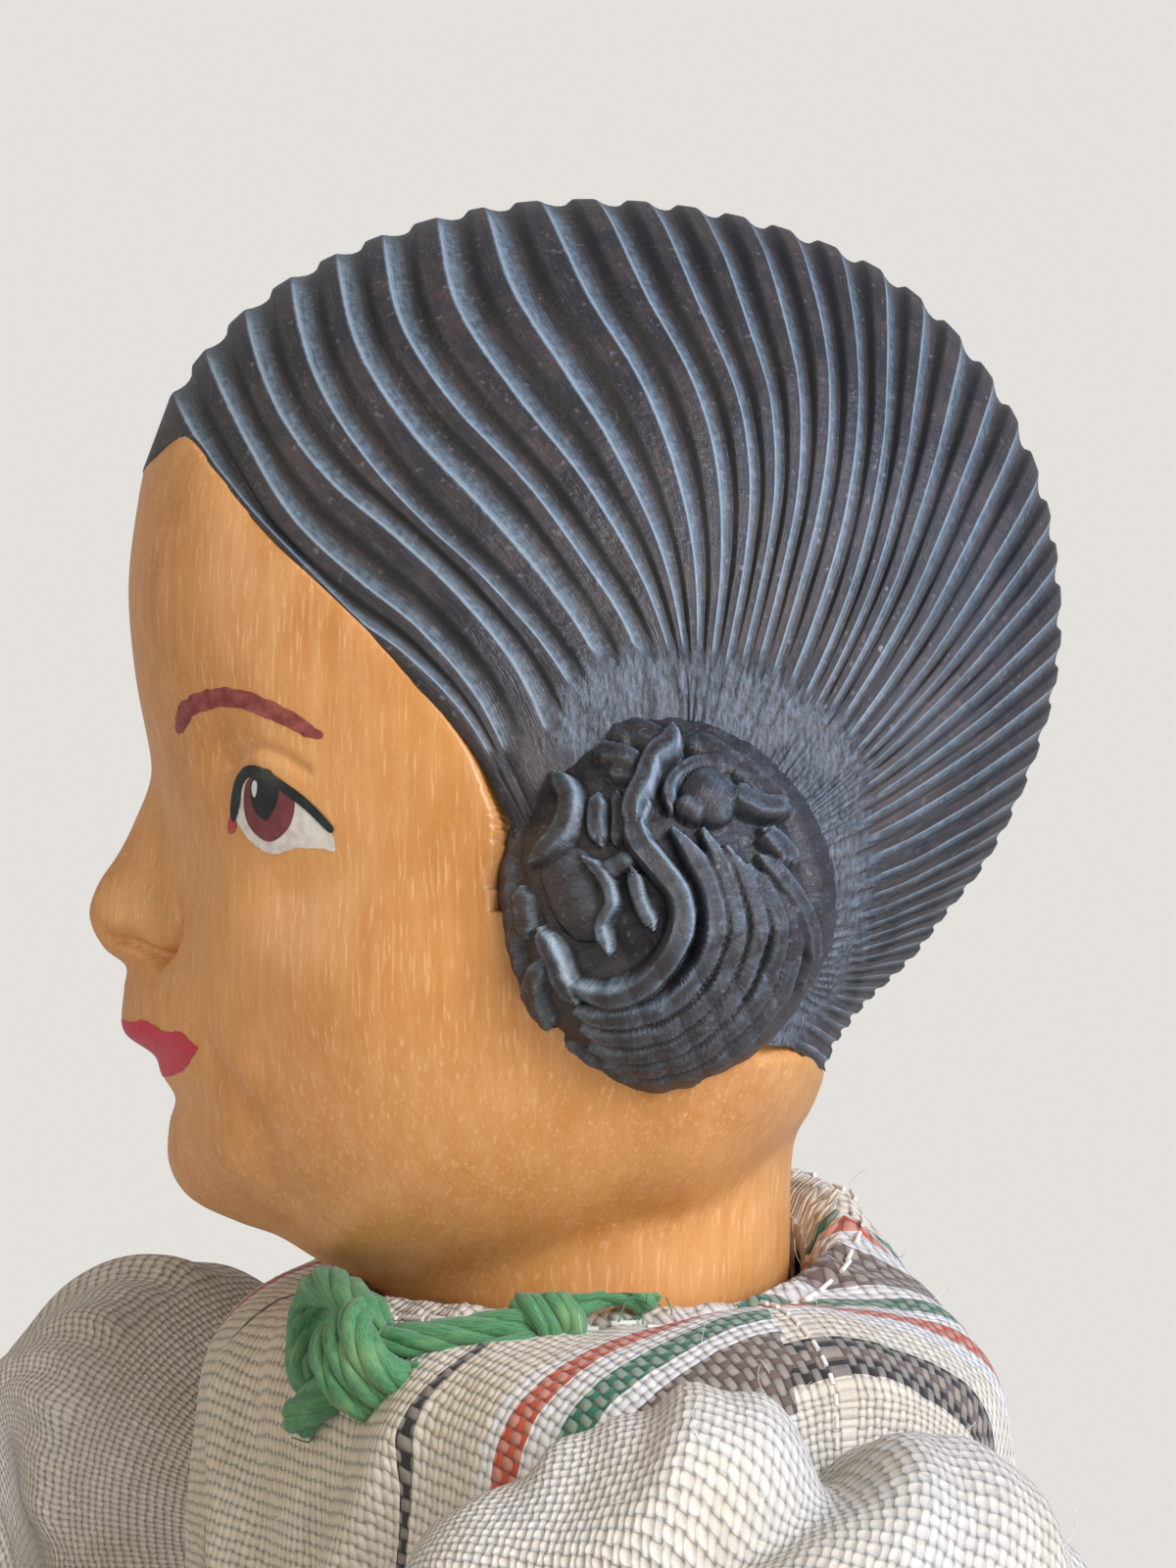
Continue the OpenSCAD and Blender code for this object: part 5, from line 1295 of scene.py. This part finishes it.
# Matt off-white sewing cotton
white_thread, tree = material("white_sewing_thread")
shader = add(tree, "BsdfPrincipled", {"Base Color": linear("#e4dfd3"), "Roughness": 0.7, "Sheen Weight": 0.2})
add(tree, "OutputMaterial", {"Surface": shader.outputs[0]})

stitch_group, given = node_group("stitches", {"Pitch": 0.002, "Length": 0.0013, "Thickness": 0.0003})
run = add(stitch_group, "GeometryNodeMeshToCurve", {0: given["Geometry"]}).outputs[0]
run = add(stitch_group, "GeometryNodeResampleCurve", {"Curve": run, "Length": given["Pitch"]}, mode="LENGTH")
half = add(stitch_group, "ShaderNodeMath", {0: given["Length"], 1: 0.5}, operation="MULTIPLY").outputs[0]
back = add(stitch_group, "ShaderNodeMath", {0: half, 1: -1.0}, operation="MULTIPLY").outputs[0]
ends = [add(stitch_group, "ShaderNodeCombineXYZ", {2: way}).outputs[0] for way in (back, half)]
line = add(stitch_group, "GeometryNodeCurvePrimitiveLine", {"Start": ends[0], "End": ends[1]}).outputs[0]
across = add(stitch_group, "ShaderNodeMath", {0: given["Thickness"], 1: 0.5}, operation="MULTIPLY").outputs[0]
ring = add(stitch_group, "GeometryNodeCurvePrimitiveCircle", {"Resolution": 7, "Radius": across}).outputs[0]
stitch = add(stitch_group, "GeometryNodeCurveToMesh", {"Curve": line, "Profile Curve": ring, "Fill Caps": True})
tangent = add(stitch_group, "GeometryNodeInputTangent").outputs[0]
aim = add(stitch_group, "FunctionNodeAlignRotationToVector", {"Vector": tangent}, axis="Z").outputs[0]
sewn = add(stitch_group, "GeometryNodeInstanceOnPoints",
            {"Points": run.outputs[0], "Instance": stitch.outputs[0], "Rotation": aim}).outputs[0]
finish_group(stitch_group, sewn, white_thread)


def sew(name, line, pitch, length, thick, closed=True):
    """Stitches along a run of points in millimetres."""
    mesh = bpy.data.meshes.new(name + "_run")
    count = len(line)
    edges = [(i, (i + 1) % count) for i in range(count if closed else count - 1)]
    mesh.from_pydata(place(line).tolist(), edges, [])
    return run_nodes(name, mesh, stitch_group, {"Pitch": pitch / 1000, "Length": length / 1000,
                                                "Thickness": thick / 1000})


for name, line, pitch in (("neckline_stitches", neck_run, 1.9), ("hem_stitches", hem_run, 2.6)):
    stitches = sew(name, line, pitch, 1.2, 0.26)
    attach(stitches, "torso")
for side, name in ((1, "left"), (-1, "right")):
    mirror = np.array([side, 1, 1])
    stitches = sew("shoulder_seam_stitches_" + name, seam_run * mirror, 0.95, 0.55, 0.24, closed=False)
    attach(stitches, "torso")
    stitches = sew("cuff_stitches_" + name, cuff_run * mirror, 1.7, 1.0, 0.26)
    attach(stitches, "upper_arm_" + name)
    stitches = sew("drawers_stitches_" + name, leg_run * mirror, 2.0, 1.2, 0.26)
    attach(stitches, "thigh_" + name)

fibre_group, given = node_group("loose_fibres", {"Density": 30000.0, "Length": 0.0014, "Seed": 5})
spots = add(fibre_group, "GeometryNodeDistributePointsOnFaces",
             {"Mesh": given["Geometry"], "Density": given["Density"], "Seed": given["Seed"]})
half = add(fibre_group, "ShaderNodeMath", {0: given["Length"], 1: 0.45}, operation="MULTIPLY").outputs[0]
bow = add(fibre_group, "ShaderNodeCombineXYZ", {0: half, 2: half}).outputs[0]
tip = add(fibre_group, "ShaderNodeCombineXYZ", {0: given["Length"], 1: half}).outputs[0]
arc = add(fibre_group, "GeometryNodeCurveQuadraticBezier", {"Resolution": 4, "Start": (0, 0, 0), "Middle": bow,
                                                            "End": tip}).outputs[0]
ring = add(fibre_group, "GeometryNodeCurvePrimitiveCircle", {"Resolution": 3, "Radius": 0.00002}).outputs[0]
hair_end = add(fibre_group, "GeometryNodeCurveToMesh", {"Curve": arc, "Profile Curve": ring, "Fill Caps": True})
turned_by = add(fibre_group, "FunctionNodeRandomValue", {"Max": (6.28, 6.28, 6.28), "Seed": given["Seed"]},
                 data_type="FLOAT_VECTOR").outputs[0]
grown = add(fibre_group, "FunctionNodeRandomValue", {2: 0.4, 3: 1.3, "Seed": given["Seed"]},
             data_type="FLOAT").outputs[1]
fuzz = add(fibre_group, "GeometryNodeInstanceOnPoints",
            {"Points": spots.outputs[0], "Instance": hair_end.outputs[0], "Rotation": turned_by,
             "Scale": grown}).outputs[0]
finish_group(fibre_group, fuzz, white_thread)
fibres = run_nodes("blouse_fibres", blouse.data.copy(), fibre_group,
                   {"Density": 42000.0, "Length": 0.0015, "Seed": 5})
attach(fibres, "torso")
for seed, (side, name) in enumerate(((1, "left"), (-1, "right"))):
    fibres = run_nodes("sleeve_fibres_" + name, sleeves[name].data.copy(), fibre_group,
                       {"Density": 60000.0, "Length": 0.0015, "Seed": 8 + seed})
    tuple(place([side * 20.0, 0, 240]))
    tuple(place([side * 24.3, 0, 240]))
    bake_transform(fibres)
